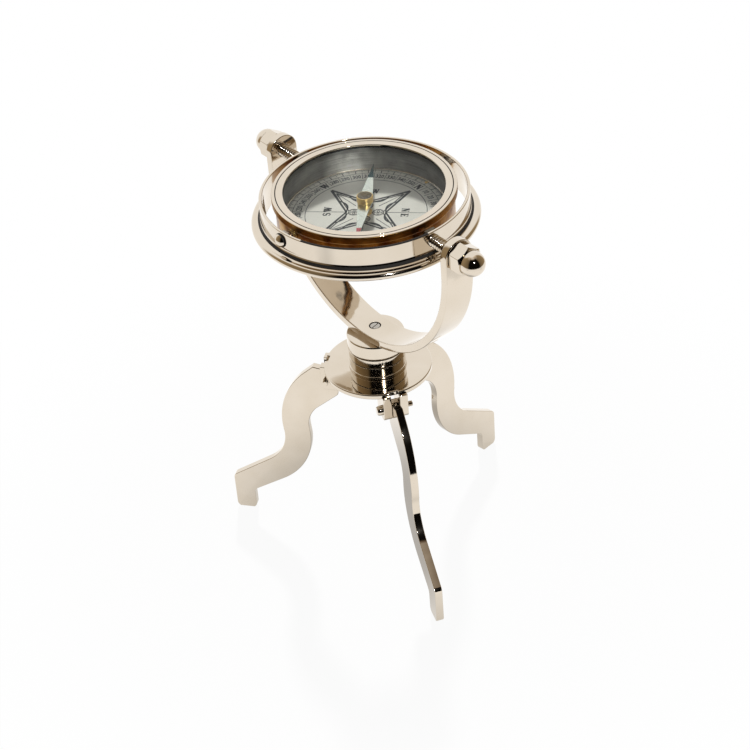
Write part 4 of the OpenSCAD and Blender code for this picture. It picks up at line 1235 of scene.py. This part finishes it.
# %% [markdown]
# ## Pivots of the bowl
# Two domed screws go through the ring and their plain tips carry the bowl in brass bushes. A small nut and a spacer
# sit on each, in the gap between the ring and the bowl.
# %% Bowl pivot screws, nuts, spacers and bushes
case_r, case_in = 40.2, 37.2
screw_head_r, screw_head_h, pin_r = 3.3, 2.4, 1.25
small_nut_h, spacer_h = 2.4, 1.6
bush_in, bush_r = case_in + 0.7, 2.2
pin_in = bush_in + 0.3
ball = 3.7
ball_z = ring_r + screw_head_h - ball
rim_angle = degrees(atan2(sqrt(ball ** 2 - screw_head_r ** 2), screw_head_r))
pivot_section = ([(0, pin_in), (pin_r - 0.15, pin_in), (pin_r, pin_in + 0.15), (pin_r, ring_in - small_nut_h),
                  (2, ring_in - small_nut_h), (2, ring_r), (screw_head_r - 0.1, ring_r), (screw_head_r, ring_r + 0.1)]
                 + arc((0, ball_z), ball, rim_angle, 90, 12))
both_sides = (90, -90)
pivot_screws = merge("domed_pivot_screws", [
    make("pivot", turned(pivot_section, 64), gimbal_end(angle), nickel, black_fill_painted_shade) for angle in both_sides])
polish(pivot_screws)
# A thin ring round each head's foot is painted black: a painted dark reflection.
paint(pivot_screws, GIMBAL, lambda p: abs(p.x) > ring_r - 0.1 and sqrt(p.y ** 2 + p.z ** 2) > screw_head_r - 0.25, 1)
mount(pivot_screws, "ring", "nickel", "bowl_pivot_screws")

pivot_nuts = set_nuts("small_pivot_nuts", 6, small_nut_h, 2.02, both_sides, steel)
polish(pivot_nuts)
mount(pivot_nuts, "ring", "steel", "bowl_pivot_nuts")

spacer_low = ring_in - small_nut_h - spacer_h
spacer_section = soften([(pin_r + 0.02, spacer_low, 0), (2.2, spacer_low, 0.2), (2.2, spacer_low + spacer_h, 0.2),
                         (pin_r + 0.02, spacer_low + spacer_h, 0)])
spacers = merge("pivot_spacers", [
    make("spacer", turned(spacer_section, 48), gimbal_end(angle), steel) for angle in both_sides])
polish(spacers)
mount(spacers, "ring", "steel", "bowl_pivot_spacers")

bush_section = soften([
    (pin_r + 0.05, bush_in, 0), (bush_r, bush_in, 0.15), (bush_r, case_r + 0.1, 0), (2.6, case_r + 0.1, 0.1),
    (2.6, case_r + 0.9, 0.2), (pin_r + 0.05, case_r + 0.9, 0.1)])
bushes = merge("flanged_bushes", [
    make("bush", turned(bush_section, 48), gimbal_end(angle), brass) for angle in both_sides])
polish(bushes)
mount(bushes, "bowl", "brass", "pivot_bushes")

# %% [markdown]
# ## The bowl's case
# The case is a turned cup. Its outer wall has lost its plate like the bezel's rim. Inside, above the card, it was left
# as the tool cut it and greyed, so it has its own finish there, with a painted gleam at the back and painted shade
# under the lip. The bushes sit in two blind holes.
# %% Bowl case
case_top, case_bottom, dial_drop, dial_t, dial_seat = 3.6, 13.0, 7.4, 0.8, 34.0
case_section = soften([
    (dial_seat, -case_bottom, 0.2), (case_r - 1.2, -case_bottom, 0.2), (case_r, -case_bottom + 1.2, 0.6),
    (case_r, case_top, 0.1), (case_in, case_top, 0.2), (case_in, -dial_drop - dial_t, 0),
    (dial_seat, -dial_drop - dial_t, 0.2)])
bowl_case = make("bowl_cup", turned(case_section, 240), GIMBAL, nickel, satin, worn_side)
for angle in both_sides:
    drill = make("drill", turned([(0, bush_in), (bush_r + 0.02, bush_in), (bush_r + 0.02, case_r + 2),
                                  (0, case_r + 2)], 48), gimbal_end(angle), nickel)
    combine(bowl_case, drill, "DIFFERENCE")
cover_screw_ring = 36.6
for angle in (45, 135, 225, 315):
    at = (cover_screw_ring * cos(radians(angle)), cover_screw_ring * sin(radians(angle)), 0)
    drill = make("drill", turned([(0, -case_bottom - 1), (0.82, -case_bottom - 1), (0.82, 4 - case_bottom),
                                  (0, 4 - case_bottom)], 24), GIMBAL @ Matrix.Translation(at), nickel)
    combine(bowl_case, drill, "DIFFERENCE")
polish(bowl_case)
# The inside above the card takes the satin finish, whose colour holds a painted gleam and painted shade.
paint(bowl_case, GIMBAL, lambda p: p.xy.length < case_in + 0.3 and p.z > -dial_drop - dial_t - 0.5, 1)
paint(bowl_case, GIMBAL, lambda p: p.xy.length > case_r - 0.1 and p.z > -case_bottom + 2, 2)
mount(bowl_case, "bowl", "nickel", "bowl_case")

# %% [markdown]
# ## Bezel, glass and seal
# The bezel holds the glass down. Its face is flat and bright, with one fine groove near the rim that draws a black
# line. The glass rests on a thin rubber seal.
# %% Bezel, glass and gasket
bezel_r, bezel_low, bezel_up, window_r, bezel_lip = 41.5, 2.8, 6.6, 36.3, 0.8
groove_at, groove_half, groove_deep = 39.7, 0.25, 0.4
bezel_section = soften([
    (case_r + 0.02, bezel_low, 0.1), (bezel_r, bezel_low, 0.5), (bezel_r, bezel_up, 0.6),
    (groove_at + groove_half, bezel_up, 0.08), (groove_at, bezel_up - groove_deep, 0),
    (groove_at - groove_half, bezel_up, 0.08), (window_r, bezel_up, 0.3), (window_r, bezel_up - bezel_lip, 0),
    (case_r + 0.02, bezel_up - bezel_lip, 0)])
bezel = make("bezel_rim", turned(bezel_section, 240), GIMBAL, nickel, black_fill_painted_shade, worn_side)
polish(bezel)
paint(bezel, GIMBAL, lambda p: abs(p.xy.length - groove_at) < groove_half - 0.02 and bezel_up - 1 < p.z < bezel_up - 0.05,
      1)
paint(bezel, GIMBAL, lambda p: p.xy.length > bezel_r - 0.15, 2)
mount(bezel, "bowl", "nickel", "bezel")

glass_low, glass_t, gasket_t = 4.2, 1.6, 0.6
pane_section = soften([(0, glass_low, 0), (case_r - 0.4, glass_low, 0.15), (case_r - 0.4, glass_low + glass_t, 0.15),
                       (0, glass_low + glass_t, 0)])
pane = make("glass_pane", turned(pane_section, 144), GIMBAL, glass)
polish(pane)
mount(pane, "bowl", "glass", "glass")

gasket_section = soften([
    (case_in + 0.2, case_top, 0.1), (case_r - 0.3, case_top, 0.1), (case_r - 0.3, case_top + gasket_t, 0.1),
    (case_in + 0.2, case_top + gasket_t, 0.1)])
gasket = make("glass_seal", turned(gasket_section), GIMBAL, rubber)
polish(gasket)
mount(gasket, "bowl", "gasket", "glass_gasket")

# %% [markdown]
# ## The card
# The card is a thin silvered disc with a low bright bead round its rim, pinned by two rivets. It lies on the shoulder
# of the case.
# %% Card and rivets
card_r, post_r, rivet_ring = 37.1, 2.0, 35.6
card_top = -dial_drop
card_section = soften([
    (post_r + 0.02, card_top - dial_t, 0), (card_r, card_top - dial_t, 0), (card_r, card_top + 0.3, 0.12),
    (card_r - 0.45, card_top + 0.3, 0.12), (card_r - 0.45, card_top, 0.08), (post_r + 0.02, card_top, 0.05)])
dial = make("silvered_card", turned(card_section, 240), GIMBAL, card, nickel)
for angle in (0, 180):
    at = (rivet_ring * cos(radians(angle)), 0, 0)
    drill = make("drill", turned([(0, card_top - 2), (0.62, card_top - 2), (0.62, card_top + 1), (0, card_top + 1)], 24),
                 GIMBAL @ Matrix.Translation(at), nickel)
    combine(dial, drill, "DIFFERENCE")
polish(dial)
paint(dial, GIMBAL, lambda p: p.xy.length > card_r - 0.5 and p.z > card_top + 0.02, 1)
mount(dial, "bowl", "dial_card", "dial")

rivet_section = soften([(0, card_top - dial_t, 0), (0.6, card_top - dial_t, 0.1), (0.6, card_top, 0), (0.9, card_top, 0.05),
                        (0.8, card_top + 0.3, 0.15), (0, card_top + 0.3, 0)])
turned_to_card = Matrix.Scale(0.001, 4) @ Matrix.Translation((0, 0, axis_z)) @ Matrix.Translation((rivet_ring, 0, 0))
sample = make("rivet", turned(rivet_section, 32), turned_to_card, brass)
rivets = copy_round("card_rivets", sample, 2, degrees(yoke_turn), 180, brass)
polish(rivets)
mount(rivets, "bowl", "brass", "dial_rivets")

# %% [markdown]
# ## The graduations
# Strokes for every degree, longer at five and longest at ten, come from the scale tree. The ink stands a few
# hundredths of a millimetre proud, which is enough for it to be a real, closed shape.
# %% Graduations
ink_t = 0.04
ink_z = card_top + ink_t / 2 - 0.01
card_turn = 1.0


def card_place(bearing):
    """Frame on the card whose +X points to a bearing. North is near one end of the bowl's own axis."""
    return Matrix.Translation((0, 0, ink_z)) @ Matrix.Rotation(radians(-bearing - card_turn), 4, "Z")


strokes = []
for count, inner, outer, width in ((360, 35.2, 36.1, 0.19), (72, 34.5, 36.1, 0.28), (36, 33.5, 36.1, 0.38)):
    ring_of_strokes = grow("strokes", scale, {
        "Count": count, "Inner": float(inner), "Outer": float(outer), "Width": float(width),
        "Thickness": float(ink_t), "Finish": ink})
    ring_of_strokes.data.transform(GIMBAL @ card_place(0))
    strokes.append(ring_of_strokes)
graduations = merge("card_graduations", strokes)
mount(graduations, "bowl", "dial_card")

# %% [markdown]
# ## The printed rose
# The rose is the common one of old compass cards: four long points, each with a heavy outline, a fine inner line and a
# pair of pointed-arch curves, four small roundels between them, fine lines to the half cardinals, and letters that
# stand with their tops outwards. Every line is a thin ribbon of ink, mitred at its bends. The letters are drawn with
# thick and thin strokes and serifs, and the numbers use Blender's own font.
# %% Ribbons of ink
ink_lines = bmesh.new()


def draw_line(points, width, place, closed=False):
    """A ribbon of ink along points, in the card's plane. The width may be a list with one value a point."""
    widths = width if isinstance(width, list) else [width] * len(points)
    rows = []
    for i, here in enumerate(points):
        before = points[i - 1] if i or closed else here
        after = points[(i + 1) % len(points)] if i < len(points) - 1 or closed else here
        arriving, leaving = Vector(here) - Vector(before), Vector(after) - Vector(here)
        arriving, leaving = (arriving or leaving).normalized(), (leaving or arriving).normalized()
        side = Vector((-arriving.y - leaving.y, arriving.x + leaving.x)).normalized()
        side *= widths[i] / 2 / max(0.6, side.dot(Vector((-arriving.y, arriving.x))))
        corners = [Vector(here) + side, Vector(here) - side]
        rows.append([ink_lines.verts.new(place @ Vector((p.x, p.y, z)))
                     for z in (-ink_t / 2, ink_t / 2) for p in corners])
    pairs = list(zip(rows, rows[1:] + rows[:1])) if closed else list(zip(rows, rows[1:]))
    for here, after in pairs:
        for j, k in ((0, 1), (1, 3), (3, 2), (2, 0)):
            ink_lines.faces.new((here[j], here[k], after[k], after[j]))
    if not closed:
        for row in (rows[0], rows[-1]):
            ink_lines.faces.new((row[0], row[1], row[3], row[2]))


def draw_circle(x, y, radius, width, place, steps=64):
    """A closed round line."""
    draw_line(arc((x, y), radius, 0, 360, steps)[:-1], width, place, closed=True)


# %% [markdown]
# ### Points, arches and roundels
# %% The rose
star_tip, star_waist = 25.5, 8.9
shoulder = star_waist / sqrt(2)
side_angle = atan2(shoulder, star_tip - shoulder)
for bearing in (0, 90, 180, 270):
    here = card_place(bearing)
    for side in (-1, 1):
        draw_line([(star_tip, 0), (shoulder, side * shoulder)], 0.8, here)
        inner_tip = star_tip - 1.15 / sin(side_angle)
        inner_foot = (shoulder - 0.2, side * (shoulder - 1.3))
        draw_line([(inner_tip, 0), inner_foot], 0.4, here)
        arch = []
        for i in range(13):
            share = i / 12 * 0.52
            on_side = (shoulder + (star_tip - shoulder) * share, shoulder * (1 - share))
            bulge = 2.1 * sin(pi * i / 12)
            arch.append((on_side[0] - bulge * sin(side_angle), side * (on_side[1] - bulge * cos(side_angle))))
        draw_line(arch, [0.34 + 0.66 * sin(pi * i / 12) for i in range(13)], here)
        for share in (0.6, 0.7, 0.8):
            x = shoulder + (star_tip - shoulder) * share
            y = shoulder * (1 - share)
            cross = Vector((sin(side_angle), cos(side_angle))) * 0.62
            draw_line([(x - cross.x * 0.3, side * (y - cross.y * 0.3)), (x - cross.x, side * (y - cross.y))], 0.5, here)
    draw_line([(shoulder + 1, 0), (inner_tip, 0)], 0.22, here)

for bearing in (45, 135, 225, 315):
    here = card_place(bearing)
    draw_circle(5.5, 0, 2.45, 0.4, here)
    draw_circle(5.5, 0, 1.95, 0.2, here)
    petals = [(5.5 + 1.6 * cos(2 * t) * cos(t), 1.6 * cos(2 * t) * sin(t)) for t in
              (2 * pi * i / 96 for i in range(96))]
    draw_line(petals, 0.3, here, closed=True)
    draw_line([(star_waist, 0), (27.4, 0)], 0.22, here)
draw_circle(0, 0, 27.4, 0.3, card_place(0), 180)
draw_circle(0, 0, 33.4, 0.2, card_place(0), 180)
draw_circle(0, 0, 36.2, 0.26, card_place(0), 180)
for bearing in range(5, 360, 10):
    draw_line([(28.6, 0), (33.4, 0)], 0.18, card_place(bearing))
print("faces of ink:", len(ink_lines.faces))

# %% [markdown]
# ### Letters
# A letter's strokes are given in a box one unit high: thin uprights, thick slants and small serifs.
# %% Letters
THIN, THICK, SERIF = 0.1, 0.22, 0.08
curl = [(0.27 + 0.24 * cos(radians(a)), 0.74 + 0.22 * sin(radians(a))) for a in range(20, 271, 25)]
curl += [(0.27 + 0.25 * cos(radians(a)), 0.26 + 0.24 * sin(radians(a))) for a in range(65, -161, -25)]
LETTERS = {
    "N": (0.78, [([(0.12, 0), (0.12, 1)], THIN), ([(0.66, 0), (0.66, 1)], THIN), ([(0.14, 1), (0.66, 0)], THICK),
                 ([(0, 0.97), (0.3, 0.97)], SERIF), ([(0, 0.03), (0.26, 0.03)], SERIF),
                 ([(0.52, 0.97), (0.8, 0.97)], SERIF)]),
    "E": (0.68, [([(0.18, 0), (0.18, 1)], THICK), ([(0, 0.96), (0.64, 0.96)], 0.08), ([(0, 0.04), (0.66, 0.04)], 0.08),
                 ([(0.2, 0.51), (0.5, 0.51)], 0.08), ([(0.62, 0.76), (0.62, 1)], SERIF),
                 ([(0.64, 0), (0.64, 0.26)], SERIF), ([(0.5, 0.38), (0.5, 0.64)], SERIF)]),
    "S": (0.54, [(curl, [0.08 + 0.15 * sin(pi * i / (len(curl) - 1)) for i in range(len(curl))]),
                 ([(0.5, 0.72), (0.5, 0.98)], SERIF), ([(0.04, 0.02), (0.04, 0.3)], SERIF)]),
    "W": (1.06, [([(0.1, 1), (0.34, 0)], THICK), ([(0.34, 0), (0.54, 0.9)], THIN), ([(0.5, 1), (0.74, 0)], THICK),
                 ([(0.74, 0), (0.96, 1)], THIN), ([(-0.04, 0.97), (0.28, 0.97)], SERIF),
                 ([(0.38, 0.97), (0.64, 0.97)], SERIF), ([(0.84, 0.97), (1.08, 0.97)], SERIF)]),
}


def draw_letter(letter, radius, shift, height, bearing):
    """One letter with its top outwards, its middle at a radius and some millimetres clockwise of a bearing."""
    width, lines = LETTERS[letter]
    lay = (card_place(bearing) @ Matrix.Translation((radius, 0, 0)) @ Matrix.Rotation(-pi / 2, 4, "Z")
           @ Matrix.Translation((shift, 0, 0)) @ Matrix.Scale(height, 4))
    lay = lay @ Matrix.Translation((-width / 2, -0.5, 0)) @ Matrix.Diagonal((1, 1, 1 / height, 1))
    for points, stroke in lines:
        draw_line(points, stroke, lay)


for bearing, name in ((45, "NE"), (135, "SE"), (225, "SW"), (315, "NW")):
    draw_letter(name[0], 17.6, -2.1, 3.4, bearing)
    draw_letter(name[1], 17.6, 2.1, 3.4, bearing)
for bearing, name in ((0, "N"), (90, "E"), (180, "S"), (270, "W")):
    draw_letter(name, 30.4, 0, 3.6, bearing)
print("letters drawn, faces of ink:", len(ink_lines.faces))

# %% [markdown]
# ### Numbers
# The numbers run clockwise in tens, with a letter in place of each right angle.
# %% Numbers
digit_h, digit_squeeze = 3.8, 0.7
for bearing in [b for b in range(10, 360, 10) if b % 90]:
    text = bpy.data.curves.new("number", "FONT")
    text.body, text.size = str(bearing), digit_h
    text.align_x, text.align_y = "CENTER", "CENTER"
    text.extrude, text.resolution_u, text.offset = ink_t / 2, 2, 0.09
    writing = bpy.data.objects.new("number", text)
    scene.collection.objects.link(writing)
    graph = bpy.context.evaluated_depsgraph_get()
    flat = bpy.data.meshes.new_from_object(writing.evaluated_get(graph), depsgraph=graph)
    flat.transform(card_place(bearing) @ Matrix.Translation((30.6, 0, 0)) @ Matrix.Rotation(-pi / 2, 4, "Z")
                   @ Matrix.Diagonal((digit_squeeze, 1, 1, 1)))
    ink_lines.from_mesh(flat)
    bpy.data.objects.remove(writing)
    bpy.data.meshes.remove(flat)
    bpy.data.curves.remove(text)
bmesh.ops.recalc_face_normals(ink_lines, faces=ink_lines.faces)
card_print = make("card_print", ink_lines, GIMBAL, ink)
mount(card_print, "bowl", "dial_card")

# %% [markdown]
# ## Post, needle and cap
# The needle is a thin steel rhombus. A brass cap sits on it, with a ruby inside that rests on the post's point. The
# front end is lacquered red and the far end blued, so the blade is scored across there and its faces take other
# finishes.
# %% Post, needle, cap and jewel
tip_z, blade_z, blade_t, needle_l, needle_w = 0.3, -1.9, 0.4, 65.0, 6.8
red_from, blue_from = 21.8, 20.0
post_section = soften([
    (0, -11, 0), (post_r, -11, 0.2), (post_r, card_top, 0), (2.8, card_top, 0), (2.8, card_top + 1, 0.3),
    (0.6, card_top + 1, 0.1), (0.6, tip_z - 1.2, 0), (0.08, tip_z, 0), (0, tip_z, 0)])
post = make("needle_pin", turned(post_section, 64), GIMBAL, brass)
polish(post)
mount(post, "bowl", "brass", "needle_post")

rhombus = [(0, -needle_l / 2), (needle_w / 2, 0), (0, needle_l / 2), (-needle_w / 2, 0)]
blade_solid = plate([rhombus, hole(0, 0, 1.62)], rounded_levels(blade_t, 0.06, 2))
for at in (-red_from, blue_from):
    bmesh.ops.bisect_plane(blade_solid, geom=blade_solid.verts[:] + blade_solid.edges[:] + blade_solid.faces[:],
                           dist=1e-5, plane_co=(0, at, 0), plane_no=(0, 1, 0))
BLADE = NEEDLE @ Matrix.Translation((0, 0, blade_z + blade_t / 2))
blade = make("needle_leaf", blade_solid, BLADE, needle_steel, lacquer, blued)
polish(blade)
paint(blade, BLADE, lambda p: p.y < -red_from, 1)
paint(blade, BLADE, lambda p: p.y > blue_from, 2)
mount(blade, "needle", "needle", "needle_blade")

cap_r, cap_top, cap_bore = 3.75, 1.5, 1.2
cap_section = soften(
    [(r, z, 0) for r, z in arc((0, cap_top + 3), 3.6, -90, -56.4, 6)]
    + [(cap_r, cap_top, 0.45), (cap_r, blade_z + blade_t, 0.15), (1.6, blade_z + blade_t, 0), (1.6, blade_z - 0.4, 0.1),
       (cap_bore, blade_z - 0.4, 0), (cap_bore, tip_z + 0.1, 0), (0, tip_z + 0.1, 0)])
cap = make("needle_bearing_cap", turned(cap_section, 96), NEEDLE, brass, dark_brass_painted_shade_and_reflection)
polish(cap)
# The dimple on the cap's top is painted dark: a painted reflection of the dark room.
paint(cap, NEEDLE, lambda p: p.xy.length < cap_r - 0.7 and p.z > cap_top - 0.7, 1)
mount(cap, "needle", "brass", "needle_cap")

jewel_low = tip_z + 0.05 - 0.6
jewel_section = [(0.75, jewel_low), (1.18, jewel_low), (1.18, jewel_low + 0.64), (0, jewel_low + 0.64),
                 (0, jewel_low + 0.54), (0.2, jewel_low + 0.5)]
jewel = make("ruby_bearing", turned(jewel_section, 48), NEEDLE, ruby)
polish(jewel)
mount(jewel, "needle", "jewel", "cap_jewel")

# %% [markdown]
# ## Under the card
# A heavy disc in the bottom of the bowl keeps it level. A cover closes the bowl from below, held by small screws.
# %% Ballast, cover and screws
cover_t, ballast_r, ballast_top, ballast_screw_ring, ballast_hole = 1.5, 30.0, -9.0, 15.0, 3.2
ballast_section = soften([
    (0, -case_bottom, 0), (ballast_r, -case_bottom, 0.5), (ballast_r, ballast_top, 0.5), (post_r + 0.02, ballast_top, 0.2),
    (post_r + 0.02, -11, 0), (0, -11, 0)])
ballast = make("ballast_disc", turned(ballast_section), GIMBAL, steel)
for angle in (0, 180):
    at = (ballast_screw_ring * cos(radians(angle)), 0, 0)
    drill = make("drill", turned([(0, -case_bottom - 1), (1.02, -case_bottom - 1), (1.02, ballast_hole - case_bottom),
                                  (0, ballast_hole - case_bottom)], 24), GIMBAL @ Matrix.Translation(at), steel)
    combine(ballast, drill, "DIFFERENCE")
polish(ballast)
mount(ballast, "bowl", "steel", "ballast_weight")

cover_low = -case_bottom - cover_t
cover_section = soften([(0, cover_low, 0), (case_r - 1.2, cover_low, 0.5), (case_r - 1.2, -case_bottom, 0.1),
                        (0, -case_bottom, 0)])
cover = make("bowl_cover", turned(cover_section, 192), GIMBAL, nickel)
cover_screws = [(ballast_screw_ring, angle, 1.0, 1.9) for angle in (0, 180)]
cover_screws += [(cover_screw_ring, angle, 0.8, 1.6) for angle in (45, 135, 225, 315)]
for ring, angle, shank, head in cover_screws:
    at = (ring * cos(radians(angle)), ring * sin(radians(angle)), cover_low)
    sink = [(0, -0.1), (head + 0.1, -0.1), (head + 0.1, 0), (shank + 0.02, head - shank + 0.08), (shank + 0.02, 3), (0, 3)]
    combine(cover, make("sink", turned(sink, 32), GIMBAL @ Matrix.Translation(at), nickel), "DIFFERENCE")
polish(cover)
mount(cover, "bowl", "nickel", "base_cover")

UNTURNED = Matrix.Scale(0.001, 4) @ Matrix.Translation((0, 0, axis_z + cover_low + 0.05))
for name, node, ring, count, start, shank, head, screw_l in (
        ("ballast_screws_slotted", "ballast_screw", ballast_screw_ring, 2, 0, 1.0, 1.9, 4.4),
        ("cover_screws_slotted", "cover_screws", cover_screw_ring, 4, 45, 0.8, 1.6, 4.6)):
    sample = countersunk_screw(head, shank, screw_l, UNTURNED @ Matrix.Translation((ring, 0, 0)))
    screws = copy_round(name, sample, count, start + degrees(yoke_turn), 360 / count, steel)
    polish(screws)
    mount(screws, "bowl", "steel", node)
